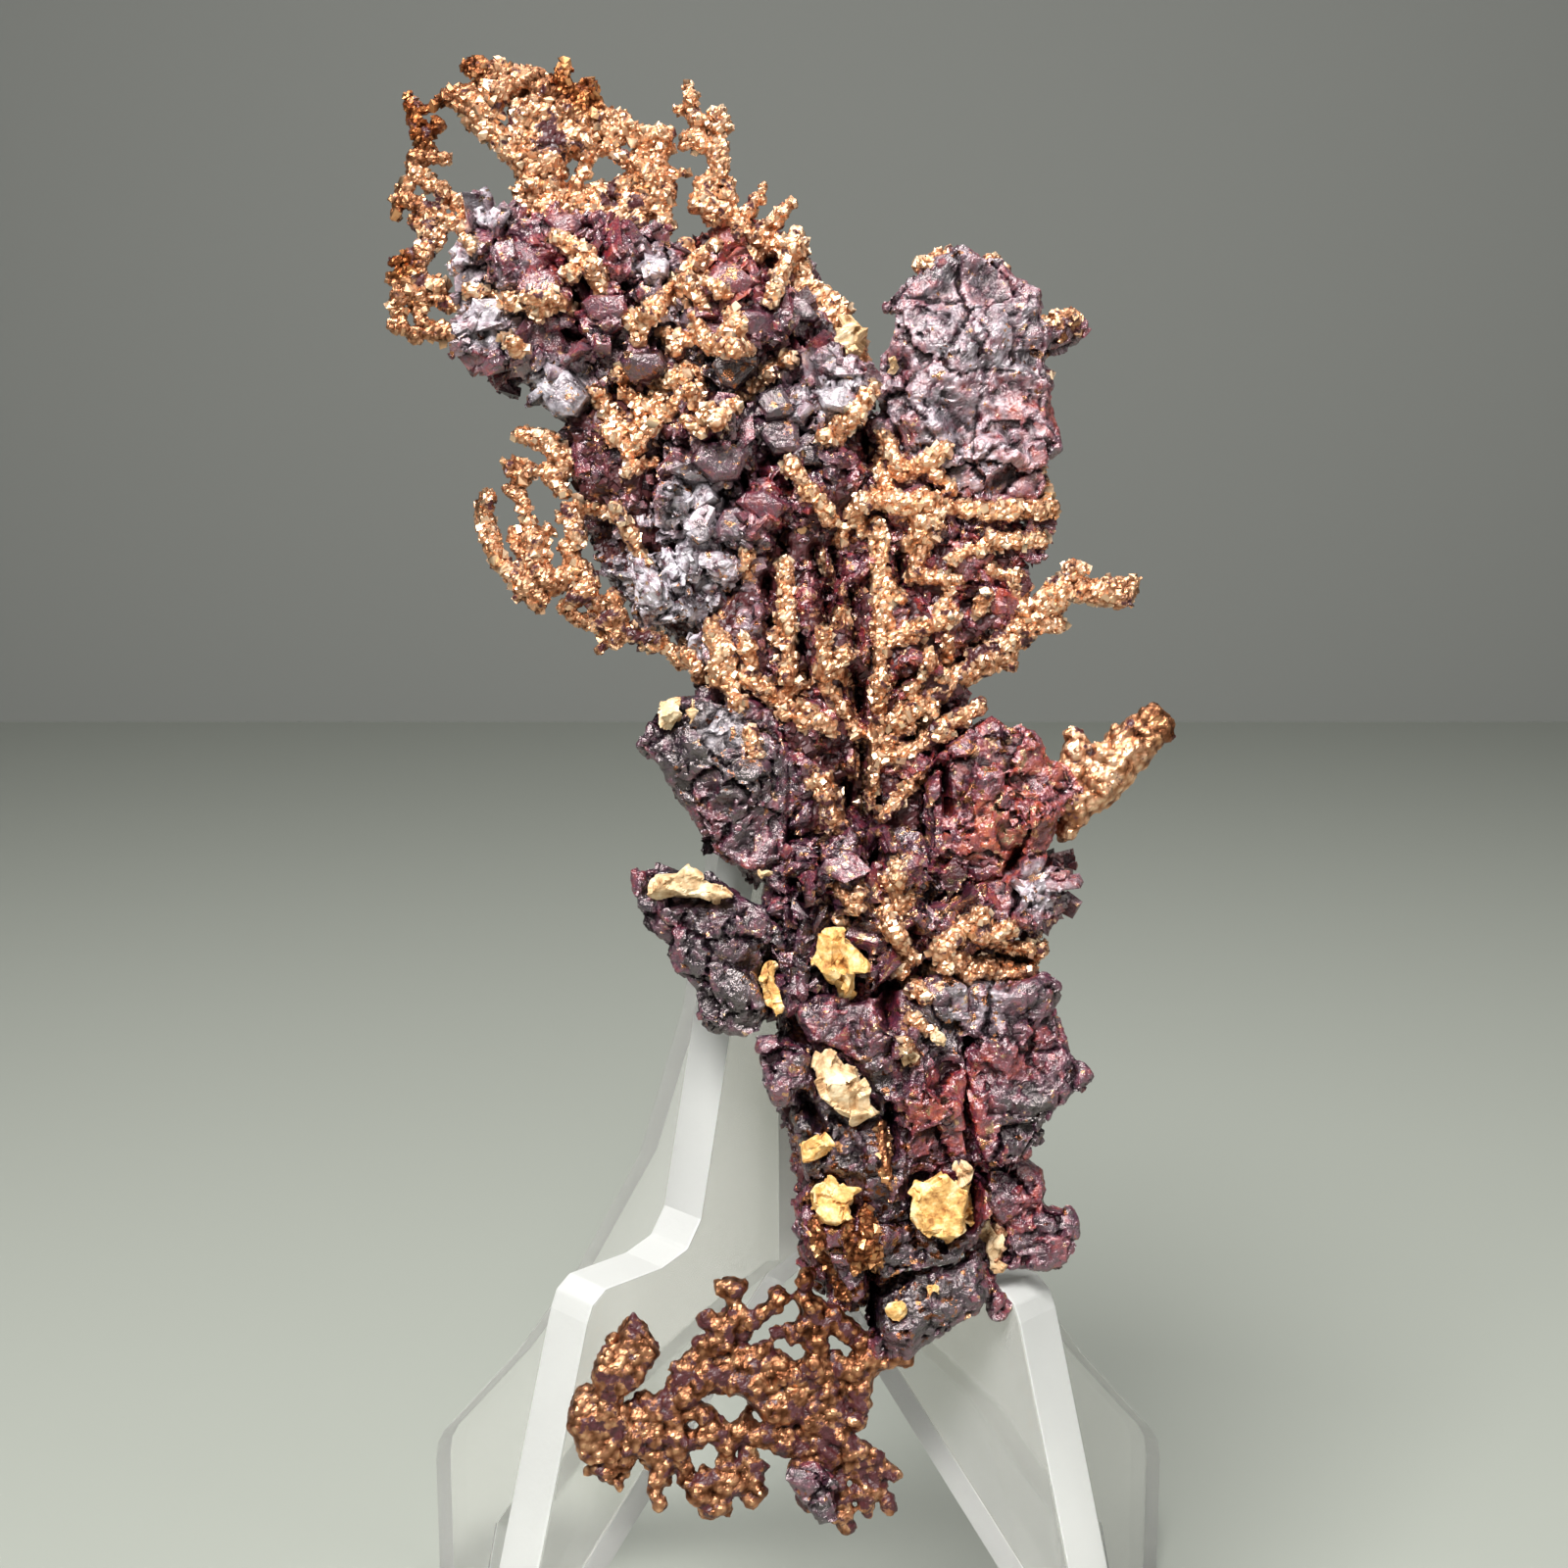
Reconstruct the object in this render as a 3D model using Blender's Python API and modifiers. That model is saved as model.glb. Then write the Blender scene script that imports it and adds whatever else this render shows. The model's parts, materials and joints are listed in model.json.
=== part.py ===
"""Cuprite on native copper: a branching copper specimen with cuprite crusts, on a clear two-plate easel.

The specimen is laid out on a flat square board, in board units of a twentieth of a millimetre: x to the
right, y down from the board's top edge, and w towards the viewer. The board leans back, and the two plates
of the easel cross under it. Everything is built in millimetres and written out in metres.
"""

import math

import bmesh
import bpy
from mathutils import Matrix, Vector, noise

# Driving dimensions, in millimetres and degrees.
BOARD = 80.0            # side of the board the specimen is laid out on
UNIT = 0.05             # one board unit
LEAN = 10.5             # how far the specimen leans back from upright
FOOT_HEIGHT = 24.6      # the board's lower edge above the ground
SHEET = 3.0             # thickness of the easel's acrylic sheet
EASEL_X = 1.0           # where the easel's plates cross, to the right of the board's middle
EASEL_Y = 16.0          # and behind the board's lower edge
GAP = 0.40              # space kept between pieces that touch
GRID = 0.30             # voxel size of the grown shapes
RELIEF = 0.55           # height of the uneven growth on every grown surface
SPACING = 1.9           # distance between the bumps of that growth
FINE_BUMPS = 0.45       # size and strength of a second, finer set of bumps, as a share of the first
DETAIL = 0.66           # share of each piece's full triangle count that is kept
WELD = 0.02             # points closer than this are one
THROUGH = 300           # board units a hole reaches to both sides of the board
LEAST_LEFT = 0.25       # share of a piece that is left, at least, when its neighbours are cut away
SLOT_PLAY = 0.3         # room on each side of the easel's half-lap slots
SLOT_OVERRUN = 4.0      # how far the lower slot starts below the arch, to open into it
METRES = 0.001          # one millimetre

COLLECTION = "cuprite_on_native_copper"


def clear_scene():
    """Remove every object of the open scene."""
    for item in list(bpy.data.objects):
        bpy.data.objects.remove(item, do_unlink=True)


def make_collection(name):
    found = bpy.data.collections.new(name)
    bpy.context.scene.collection.children.link(found)
    return found


def make_material(name, colour, metallic, roughness, alpha=1.0):
    made = bpy.data.materials.new(name)
    made.use_nodes = True
    shader = made.node_tree.nodes["Principled BSDF"]
    shader.inputs["Base Color"].default_value = (*colour, 1.0)
    shader.inputs["Metallic"].default_value = metallic
    shader.inputs["Roughness"].default_value = roughness
    shader.inputs["Alpha"].default_value = alpha
    return made


# ---------------------------------------------------------------- shapes on the board

def at(x, y, w):
    """A board point in millimetres: across, away from the viewer, and up."""
    return Vector(((x * UNIT) - BOARD / 2, -w * UNIT, BOARD - y * UNIT))


def slab(bm, outline, back, front):
    """A flat growth with this outline, from depth back to depth front."""
    low = [bm.verts.new(at(x, y, back)) for x, y in outline]
    high = [bm.verts.new(at(x, y, front)) for x, y in outline]
    faces = [bm.faces.new(low), bm.faces.new(high)]
    count = len(outline)
    for i in range(count):
        j = (i + 1) % count
        faces.append(bm.faces.new((low[i], low[j], high[j], high[i])))
    bmesh.ops.recalc_face_normals(bm, faces=faces)
    bmesh.ops.triangulate(bm, faces=faces)


def lump(bm, x, y, w, rx, ry, rw):
    """A rounded growth with these half sizes."""
    size = Matrix.Diagonal((rx * UNIT, rw * UNIT, ry * UNIT, 1.0))
    place = Matrix.Translation(at(x, y, w)) @ size
    bmesh.ops.create_icosphere(bm, subdivisions=2, radius=1.0, matrix=place)


def block(bm, x, y, w, side, turn, tip):
    """A cube crystal of this side, turned in the board and tipped out of it."""
    turned = Matrix.Rotation(math.radians(turn), 4, "Y") @ Matrix.Rotation(math.radians(tip), 4, "X")
    bmesh.ops.create_cube(bm, size=side * UNIT, matrix=Matrix.Translation(at(x, y, w)) @ turned)


def rod(bm, points):
    """A finger through points (x, y, w, radius), round at its ends."""
    for x, y, w, r in points:
        bmesh.ops.create_icosphere(bm, subdivisions=2, radius=r * UNIT,
                                   matrix=Matrix.Translation(at(x, y, w)))
    for one, two in zip(points, points[1:]):
        a = at(*one[:3])
        b = at(*two[:3])
        place = Matrix.Translation((a + b) / 2) @ (b - a).to_track_quat("Z", "Y").to_matrix().to_4x4()
        bmesh.ops.create_cone(bm, cap_ends=True, segments=10, radius1=one[3] * UNIT,
                              radius2=two[3] * UNIT, depth=(b - a).length, matrix=place)


SHAPES = {"slab": slab, "lump": lump, "block": block, "rod": rod}


def shells(steps):
    """One mesh holding the closed shell of every step, overlapping as they fall."""
    bm = bmesh.new()
    for kind, *numbers in steps:
        SHAPES[kind](bm, *numbers)
    mesh = bpy.data.meshes.new("shells")
    bm.to_mesh(mesh)
    bm.free()
    return mesh


# ---------------------------------------------------------------- growing, cutting and thinning

def evaluated(item):
    """A new mesh with the object's modifiers applied."""
    bpy.context.view_layer.update()
    graph = bpy.context.evaluated_depsgraph_get()
    return bpy.data.meshes.new_from_object(item.evaluated_get(graph))


def work_object(mesh, name="work"):
    item = bpy.data.objects.new(name, mesh)
    bpy.context.scene.collection.objects.link(item)
    return item


def with_modifier(mesh, kind, **settings):
    """The mesh after one modifier."""
    item = work_object(mesh)
    modifier = item.modifiers.new(kind.title(), kind)
    for key, value in settings.items():
        setattr(modifier, key, value)
    result = evaluated(item)
    bpy.data.objects.remove(item, do_unlink=True)
    return result


def fused(mesh, grid=GRID):
    """The shells as one closed skin."""
    return with_modifier(mesh, "REMESH", mode="VOXEL", voxel_size=grid)


def uneven(mesh, height=RELIEF):
    """The skin with its natural relief."""
    normals = [v.normal.copy() for v in mesh.vertices]
    for vertex, normal in zip(mesh.vertices, normals):
        bump = noise.noise(vertex.co / SPACING)
        bump += FINE_BUMPS * noise.noise(vertex.co / (SPACING * FINE_BUMPS))
        vertex.co += normal * height * bump
    return mesh


def swollen(mesh, distance):
    """The skin grown outwards by a distance, closed again."""
    normals = [v.normal.copy() for v in mesh.vertices]
    copy = mesh.copy()
    for vertex, normal in zip(copy.vertices, normals):
        vertex.co += normal * distance
    return fused(copy)


def largest_body(mesh):
    """Only the biggest of the mesh's separate bodies."""
    bm = bmesh.new()
    bm.from_mesh(mesh)
    left = set(bm.verts)
    bodies = []
    while left:
        seed = left.pop()
        body = [seed]
        stack = [seed]
        while stack:
            for edge in stack.pop().link_edges:
                for vertex in edge.verts:
                    if vertex in left:
                        left.discard(vertex)
                        body.append(vertex)
                        stack.append(vertex)
        bodies.append(body)
    bodies.sort(key=len, reverse=True)
    for body in bodies[1:]:
        bmesh.ops.delete(bm, geom=body, context="VERTS")
    bm.to_mesh(mesh)
    bm.free()
    return mesh


def joined(meshes):
    bm = bmesh.new()
    for mesh in meshes:
        bm.from_mesh(mesh)
    result = bpy.data.meshes.new("joined")
    bm.to_mesh(result)
    bm.free()
    return result


def volume_of(mesh):
    bm = bmesh.new()
    bm.from_mesh(mesh)
    volume = bm.calc_volume()
    bm.free()
    return volume


def box_of(mesh):
    points = [v.co for v in mesh.vertices]
    low = [min(p[i] for p in points) for i in range(3)]
    high = [max(p[i] for p in points) for i in range(3)]
    return low, high


def boxes_meet(one, two):
    return all(one[0][i] <= two[1][i] and two[0][i] <= one[1][i] for i in range(3))


def cut_away(mesh, cutters):
    """The mesh without the space of the cutters, which are joined into one closed body first."""
    tool = work_object(fused(joined(cutters)), "cutter")
    result = with_modifier(mesh, "BOOLEAN", operation="DIFFERENCE", solver="EXACT", object=tool)
    if volume_of(result) < LEAST_LEFT * volume_of(mesh):
        result = with_modifier(mesh, "BOOLEAN", operation="DIFFERENCE", solver="MANIFOLD", object=tool)
    bpy.data.objects.remove(tool, do_unlink=True)
    return result


def thinned(mesh, triangles):
    """The mesh with about this many triangles."""
    now = sum(len(p.vertices) - 2 for p in mesh.polygons)
    return with_modifier(mesh, "DECIMATE", ratio=min(1.0, triangles / now), use_collapse_triangulate=True)


def tidy(mesh):
    """Merge coincident points and drop the faces that have shrunk to nothing."""
    bm = bmesh.new()
    bm.from_mesh(mesh)
    bmesh.ops.remove_doubles(bm, verts=bm.verts, dist=WELD)
    bmesh.ops.dissolve_degenerate(bm, edges=bm.edges, dist=WELD)
    bmesh.ops.triangulate(bm, faces=bm.faces)
    bm.to_mesh(mesh)
    bm.free()
    return mesh


def crossing_offset():
    """How far the plates' crossing is in front of the middle of the footprint."""
    front = max(forward for forward, _ in PLATE)
    rear = -min(forward for forward, _ in PLATE)
    return (rear - front) / 2 * math.sin(math.radians(45))


def board_placement():
    """From the upright board to the leaning one, in metres from the middle of the easel's footprint."""
    lean = Matrix.Rotation(math.radians(-LEAN), 4, "X")
    foot = Matrix.Translation((-EASEL_X, -EASEL_Y - crossing_offset(), FOOT_HEIGHT))
    return Matrix.Scale(METRES, 4) @ foot @ lean


class Specimen:
    """Builds the grown pieces in order. Each one leaves room for those made before it."""

    def __init__(self, home):
        self.home = home
        self.taken = []

    def grow(self, name, material, triangles, steps, holes=(), grid=GRID, relief=RELIEF):
        mesh = uneven(fused(shells(steps), grid), relief)
        box = box_of(mesh)
        cutters = [skin for other, skin in self.taken if boxes_meet(box, other)]
        if holes:
            cutters.append(shells([("slab", outline, -THROUGH, THROUGH) for outline in holes]))
        if cutters:
            mesh = largest_body(cut_away(mesh, cutters))
        mesh = largest_body(fused(mesh, grid * 0.9))
        room = swollen(mesh, GAP)
        self.taken.append((box_of(room), room))
        final = tidy(largest_body(thinned(mesh, triangles * DETAIL)))
        final.transform(board_placement())
        final.materials.clear()
        final.materials.append(material)
        item = bpy.data.objects.new(name, final)
        self.home.objects.link(item)
        return item


def ring(x, y, rx, ry, count=10):
    """The outline of a round hole."""
    turns = [2 * math.pi * i / count for i in range(count)]
    return [(x + rx * math.cos(t), y + ry * math.sin(t)) for t in turns]


# ---------------------------------------------------------------- the specimen's pieces

def matrix_grains(grow, sand, ochre):
    """Grains of the host rock, sunk in the cuprite."""
    grow("grain_head", sand, 60, [("slab", [(848, 338), (866, 333), (884, 340), (886, 356), (870, 373),
                                            (853, 360)], -6, 34)])
    grow("grain_lobe", sand, 40, [("lump", 910, 380, 22, 12, 15, 14)])
    grow("grain_wing_top", sand, 60, [("slab", [(671, 724), (684, 706), (701, 711), (697, 736),
                                                (688, 751), (676, 742)], 16, 52)])
    grow("grain_wing_side", sand, 40, [("rod", [(709, 714, 44, 8), (706, 737, 44, 8)])])
    grow("grain_cream_slab", sand, 90, [("slab", [(664, 895), (709, 887), (737, 898), (758, 910),
                                                  (750, 920), (716, 917), (667, 908)], 8, 50)])
    grow("grain_yellow", ochre, 80, [("slab", [(838, 953), (858, 949), (881, 984), (862, 1020),
                                               (840, 1000), (830, 976)], 16, 58)])
    grow("grain_orange", ochre, 60, [("slab", [(774, 975), (789, 977), (799, 1036), (790, 1036),
                                               (775, 1001)], 8, 44)])
    grow("grain_cream_top", sand, 50, [("lump", 786, 890, 34, 17, 10, 14)])
    grow("grain_tan", sand, 90, [("slab", [(830, 1067), (852, 1066), (885, 1100), (899, 1134),
                                           (869, 1141), (837, 1110)], 20, 62)])
    grow("grain_inclusion_left", sand, 40, [("lump", 925, 1077, 42, 12, 10, 12)])
    grow("grain_inclusion_right", sand, 40, [("lump", 953, 1056, 42, 12, 11, 12)])
    grow("grain_cream_low", sand, 40, [("lump", 979, 1190, 40, 15, 12, 13)])
    grow("grain_yellow_low", ochre, 40, [("lump", 829, 1169, 36, 13, 16, 13)])
    grow("grain_ochre", ochre, 70, [("slab", [(828, 1196), (850, 1191), (871, 1205), (867, 1231),
                                              (840, 1237), (826, 1225)], 20, 58)])
    grow("grain_ochre_block", ochre, 80, [("slab", [(923, 1195), (960, 1188), (989, 1200), (991, 1241),
                                                    (960, 1259), (929, 1250)], 22, 64)])
    grow("grain_tan_strip", sand, 50, [("rod", [(1009, 1256, -16, 7), (1019, 1278, -14, 8),
                                                (1016, 1300, -16, 6)])], grid=0.22)
    grow("grain_disc_left", ochre, 60, [("lump", 913, 1327, 40, 18, 18, 9)], relief=0.2)
    grow("grain_disc_right", ochre, 60, [("lump", 950, 1308, 36, 15, 15, 9)], relief=0.2)


def front_copper(grow, copper):
    """The loose wires and rods that cross the front."""
    fine = {"grid": 0.22, "relief": 0.25}
    grow("copper_squiggle", copper, 80, [("rod", [(572, 247, 44, 8), (590, 254, 47, 7), (598, 269, 47, 7),
                                                  (611, 281, 44, 8)])], **fine)
    grow("copper_v_rods", copper, 130, [("rod", [(801, 366, 62, 10), (770, 399, 70, 10),
                                                 (737, 433, 70, 10), (722, 419, 68, 9),
                                                 (707, 403, 62, 9)])], **fine)
    grow("copper_rod_tall", copper, 90, [("rod", [(803, 567, 44, 9), (801, 640, 50, 10),
                                                  (799, 713, 44, 10)])], **fine)
    grow("copper_rod_long", copper, 90, [("rod", [(900, 533, 36, 9), (899, 630, 42, 10),
                                                  (894, 722, 38, 10)])], **fine)
    grow("copper_rod_slant", copper, 80, [("rod", [(808, 476, 60, 10), (831, 505, 62, 10),
                                                   (851, 531, 54, 9)])], **fine)
    grow("copper_rod_left", copper, 80, [("rod", [(625, 516, 14, 9), (644, 548, 18, 9),
                                                  (660, 575, 18, 9)])], **fine)
    grow("copper_rod_right", copper, 90, [("rod", [(949, 530, 26, 9), (938, 560, 30, 10),
                                                   (931, 586, 28, 9), (954, 592, 28, 8),
                                                   (977, 594, 24, 8)])], **fine)
    grow("copper_rod_cross", copper, 80, [("rod", [(919, 656, 38, 10), (946, 643, 38, 10),
                                                   (972, 630, 32, 9)])], **fine)
    grow("copper_head_rim", copper, 240, [
        ("slab", [(812, 262), (824, 277), (834, 290), (853, 305), (866, 315), (868, 328), (884, 345),
                  (886, 362), (874, 374),
                  (888, 381), (890, 402), (886, 412), (868, 440), (850, 458), (836, 450), (846, 420),
                  (852, 380),
                  (838, 350), (820, 320), (804, 292)], -44, 4)], grid=0.24, relief=0.35)


def cuprite_crusts(grow, cuprite):
    """The cuprite masses of the front, top to bottom."""
    grow("cuprite_head_crust", cuprite, 560, [
        ("slab", [(462, 262), (476, 226), (495, 212), (520, 227), (556, 228), (590, 222), (612, 224),
                  (640, 243), (680, 240),
                  (704, 246), (718, 262), (722, 300), (706, 345), (690, 392), (650, 404), (604, 397),
                  (584, 403), (556, 401),
                  (543, 389), (523, 382), (500, 375), (482, 362), (477, 330), (474, 300)], -56, 22),
        ("block", 630, 262, 18, 40, 20, 25), ("block", 625, 292, 20, 34, 50, 20),
        ("block", 533, 246, 12, 36, 30, 15),
        ("block", 492, 328, 10, 34, 12, 30), ("block", 673, 268, 12, 38, 35, 10),
        ("block", 522, 292, 18, 36, 8, 20),
        ("block", 566, 316, 20, 34, 40, 25), ("block", 604, 356, 18, 40, 15, 12),
        ("block", 543, 366, 14, 32, 0, 30),
        ("block", 654, 330, 20, 44, 62, 14), ("block", 660, 374, 16, 34, 20, 22),
        ("block", 484, 262, 4, 36, 45, 10),
        ("lump", 566, 408, 4, 12, 14, 12), ("lump", 574, 392, 8, 22, 18, 18)])
    grow("cuprite_head_upper", cuprite, 280, [
        ("slab", [(722, 262), (760, 268), (800, 290), (822, 330), (812, 372), (770, 402), (720, 402),
                  (704, 372), (712, 320)], -30, 18),
        ("block", 777, 328, 28, 54, 14, 12), ("block", 744, 378, 26, 42, 40, 20),
        ("block", 713, 362, 14, 34, 20, 34),
        ("block", 742, 300, 16, 38, 52, 16), ("lump", 728, 330, 22, 20, 24, 22)])
    grow("cuprite_head_right", cuprite, 280, [
        ("block", 859, 399, 22, 56, 8, 14), ("block", 792, 424, 26, 50, 30, 18),
        ("block", 824, 452, 18, 46, 55, 22),
        ("block", 827, 336, 4, 44, 20, 22), ("slab", [(818, 330), (850, 360), (884, 376), (888, 402),
                                                      (862, 436),
                                                    (830, 474), (790, 462), (772, 420), (800, 380)], -30,
                                                    12)])
    grow("cuprite_head_middle", cuprite, 360, [
        ("block", 735, 469, 24, 60, 22, 14), ("block", 692, 526, 12, 42, 12, 26),
        ("block", 720, 544, 18, 30, 45, 30),
        ("block", 754, 542, 16, 34, 20, 18), ("block", 781, 512, 14, 44, 60, 14),
        ("block", 694, 482, 8, 40, 30, 18),
        ("slab", [(676, 455), (716, 438), (764, 446), (800, 486), (806, 528), (770, 566), (716, 566),
                  (678, 548)], -34, 12)])
    grow("cuprite_band", cuprite, 200, [
        ("slab", [(640, 586), (664, 572), (716, 570), (750, 574), (746, 600), (728, 622), (690, 636),
                  (652, 630)], -20, 20),
        ("block", 714, 576, 18, 32, 10, 20), ("block", 740, 584, 14, 28, 42, 14),
        ("block", 668, 606, 14, 38, 26, 18)])
    grow("cuprite_right_lobe", cuprite, 520, [
        ("slab", [(917, 305), (945, 279), (958, 264), (981, 262), (1014, 268), (1032, 284), (1042, 305),
                  (1064, 326),
                  (1068, 352), (1061, 361), (1072, 383), (1072, 397), (1066, 414), (1069, 434),
                  (1075, 448), (1072, 462),
                  (1061, 464), (1063, 484), (1070, 500), (1040, 508), (1000, 510), (960, 502), (930, 472),
                  (912, 432),
                  (904, 417), (902, 389), (904, 366), (920, 341)], -44, 18),
        ("rod", [(1060, 344, -10, 18), (1084, 336, -10, 18), (1090, 330, -8, 16)]),
        ("lump", 985, 360, 16, 48, 58, 20),
        ("block", 1038, 316, 4, 34, 18, 20), ("block", 1050, 440, 6, 40, 30, 18),
        ("block", 944, 440, 10, 40, 10, 24),
        ("block", 1008, 470, 10, 46, 50, 12), ("block", 936, 392, 12, 34, 30, 12),
        ("block", 1046, 388, 8, 34, 12, 30)])
    grow("cuprite_lower_right", cuprite, 320, [
        ("slab", [(983, 757), (1003, 735), (1016, 735), (1024, 748), (1044, 753), (1054, 771),
                  (1064, 778), (1082, 781),
                  (1092, 792), (1088, 820), (1072, 850), (1052, 884), (1018, 892), (985, 890), (950, 870),
                  (944, 824),
                  (956, 780)], -30, 30),
        ("block", 1005, 800, 26, 44, 20, 16), ("block", 1044, 830, 22, 40, 40, 18),
        ("block", 990, 850, 22, 36, 10, 24)])
    grow("cuprite_wing_upper", cuprite, 280, [
        ("slab", [(652, 762), (662, 741), (690, 716), (714, 711), (742, 719), (790, 722), (806, 780),
                  (800, 850), (790, 886), (764, 884),
                  (737, 869), (719, 848), (706, 823), (688, 802), (676, 777)], -34, 30),
        ("block", 716, 770, 22, 44, 30, 16), ("block", 756, 800, 24, 44, 10, 20),
        ("block", 748, 752, 20, 36, 50, 14)])
    grow("cuprite_wing_lower", cuprite, 300, [
        ("slab", [(650, 893), (665, 889), (700, 896), (740, 905), (768, 926), (792, 950), (800, 1000),
                  (793, 1042), (767, 1038),
                  (734, 1046), (719, 1034), (714, 1006), (691, 981), (673, 953), (657, 922)], -30, 24),
        ("block", 740, 970, 18, 52, 34, 12), ("block", 760, 1015, 14, 40, 12, 24),
        ("block", 700, 944, 14, 40, 40, 20)])
    grow("cuprite_centre", cuprite, 380, [
        ("slab", [(784, 884), (830, 858), (880, 850), (930, 858), (1000, 890), (1055, 891), (1076, 888),
                  (1091, 909),
                  (1086, 924), (1070, 939), (1052, 955), (1000, 955), (960, 975), (920, 1000),
                  (870, 1016), (830, 1014),
                  (802, 1000), (792, 940)], -34, 26),
        ("block", 870, 900, 20, 44, 20, 18), ("block", 930, 920, 18, 42, 45, 20),
        ("block", 1062, 914, 4, 42, 12, 24),
        ("block", 900, 960, 18, 40, 34, 14), ("block", 820, 910, 16, 40, 8, 22),
        ("block", 980, 918, 12, 38, 30, 12)])
    grow("cuprite_neck_plate", cuprite, 220, [
        ("slab", [(996, 1010), (1030, 1006), (1060, 1001), (1076, 1019), (1083, 1047), (1096, 1080),
                  (1106, 1093), (1105, 1105),
                  (1083, 1118), (1060, 1141), (1050, 1164), (1042, 1184), (1010, 1184), (990, 1140),
                  (985, 1080), (988, 1030)],
         -30, 24), ("lump", 1042, 1128, 18, 22, 26, 14), ("block", 1020, 1060, 14, 44, 14, 12)])
    grow("cuprite_neck_crystal", cuprite, 90, [
        ("slab", [(775, 1059), (811, 1061), (832, 1089), (825, 1122), (793, 1120), (783, 1094)], -20,
         44)], relief=0.25)
    grow("cuprite_neck_front", cuprite, 380, [
        ("slab", [(806, 1020), (860, 1024), (910, 1010), (975, 1000), (985, 1060), (978, 1150),
                  (992, 1190), (1004, 1230),
                  (986, 1272), (930, 1286), (870, 1316), (846, 1270), (818, 1252), (822, 1202),
                  (812, 1151), (806, 1128),
                  (834, 1110), (830, 1060)], -20, 32),
        ("block", 900, 1060, 28, 46, 20, 14), ("block", 940, 1120, 28, 46, 44, 18),
        ("block", 900, 1190, 26, 48, 14, 20),
        ("block", 880, 1260, 22, 42, 30, 14), ("block", 960, 1020, 18, 34, 8, 26)])
    grow("cuprite_lower_lobe", cuprite, 260, [
        ("slab", [(990, 1200), (1030, 1194), (1048, 1189), (1066, 1209), (1069, 1242), (1087, 1242),
                  (1103, 1258), (1103, 1276),
                  (1080, 1296), (1030, 1299), (1006, 1298), (988, 1262)], -60, -14),
        ("rod", [(1010, 1296, -18, 12), (1018, 1338, -10, 8)]), ("block", 1044, 1230, -30, 40, 20, 20),
        ("block", 1060, 1264, -34, 40, 44, 14)], relief=0.35)
    grow("cuprite_cigar", cuprite, 180, [
        ("slab", [(894, 1374), (893, 1332), (920, 1302), (960, 1282), (994, 1280), (1004, 1302),
                  (1000, 1328), (982, 1334),
                  (959, 1355), (944, 1370), (928, 1388)], -10, 22),
                  ("rod", [(918, 1348, 18, 22), (980, 1304, 14, 20)])])
    grow("cuprite_foot_plate", cuprite, 80, [
        ("slab", [(802, 1492), (832, 1486), (850, 1500), (856, 1540), (836, 1544), (816, 1522)], 10, 36)],
        relief=0.25)


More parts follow.
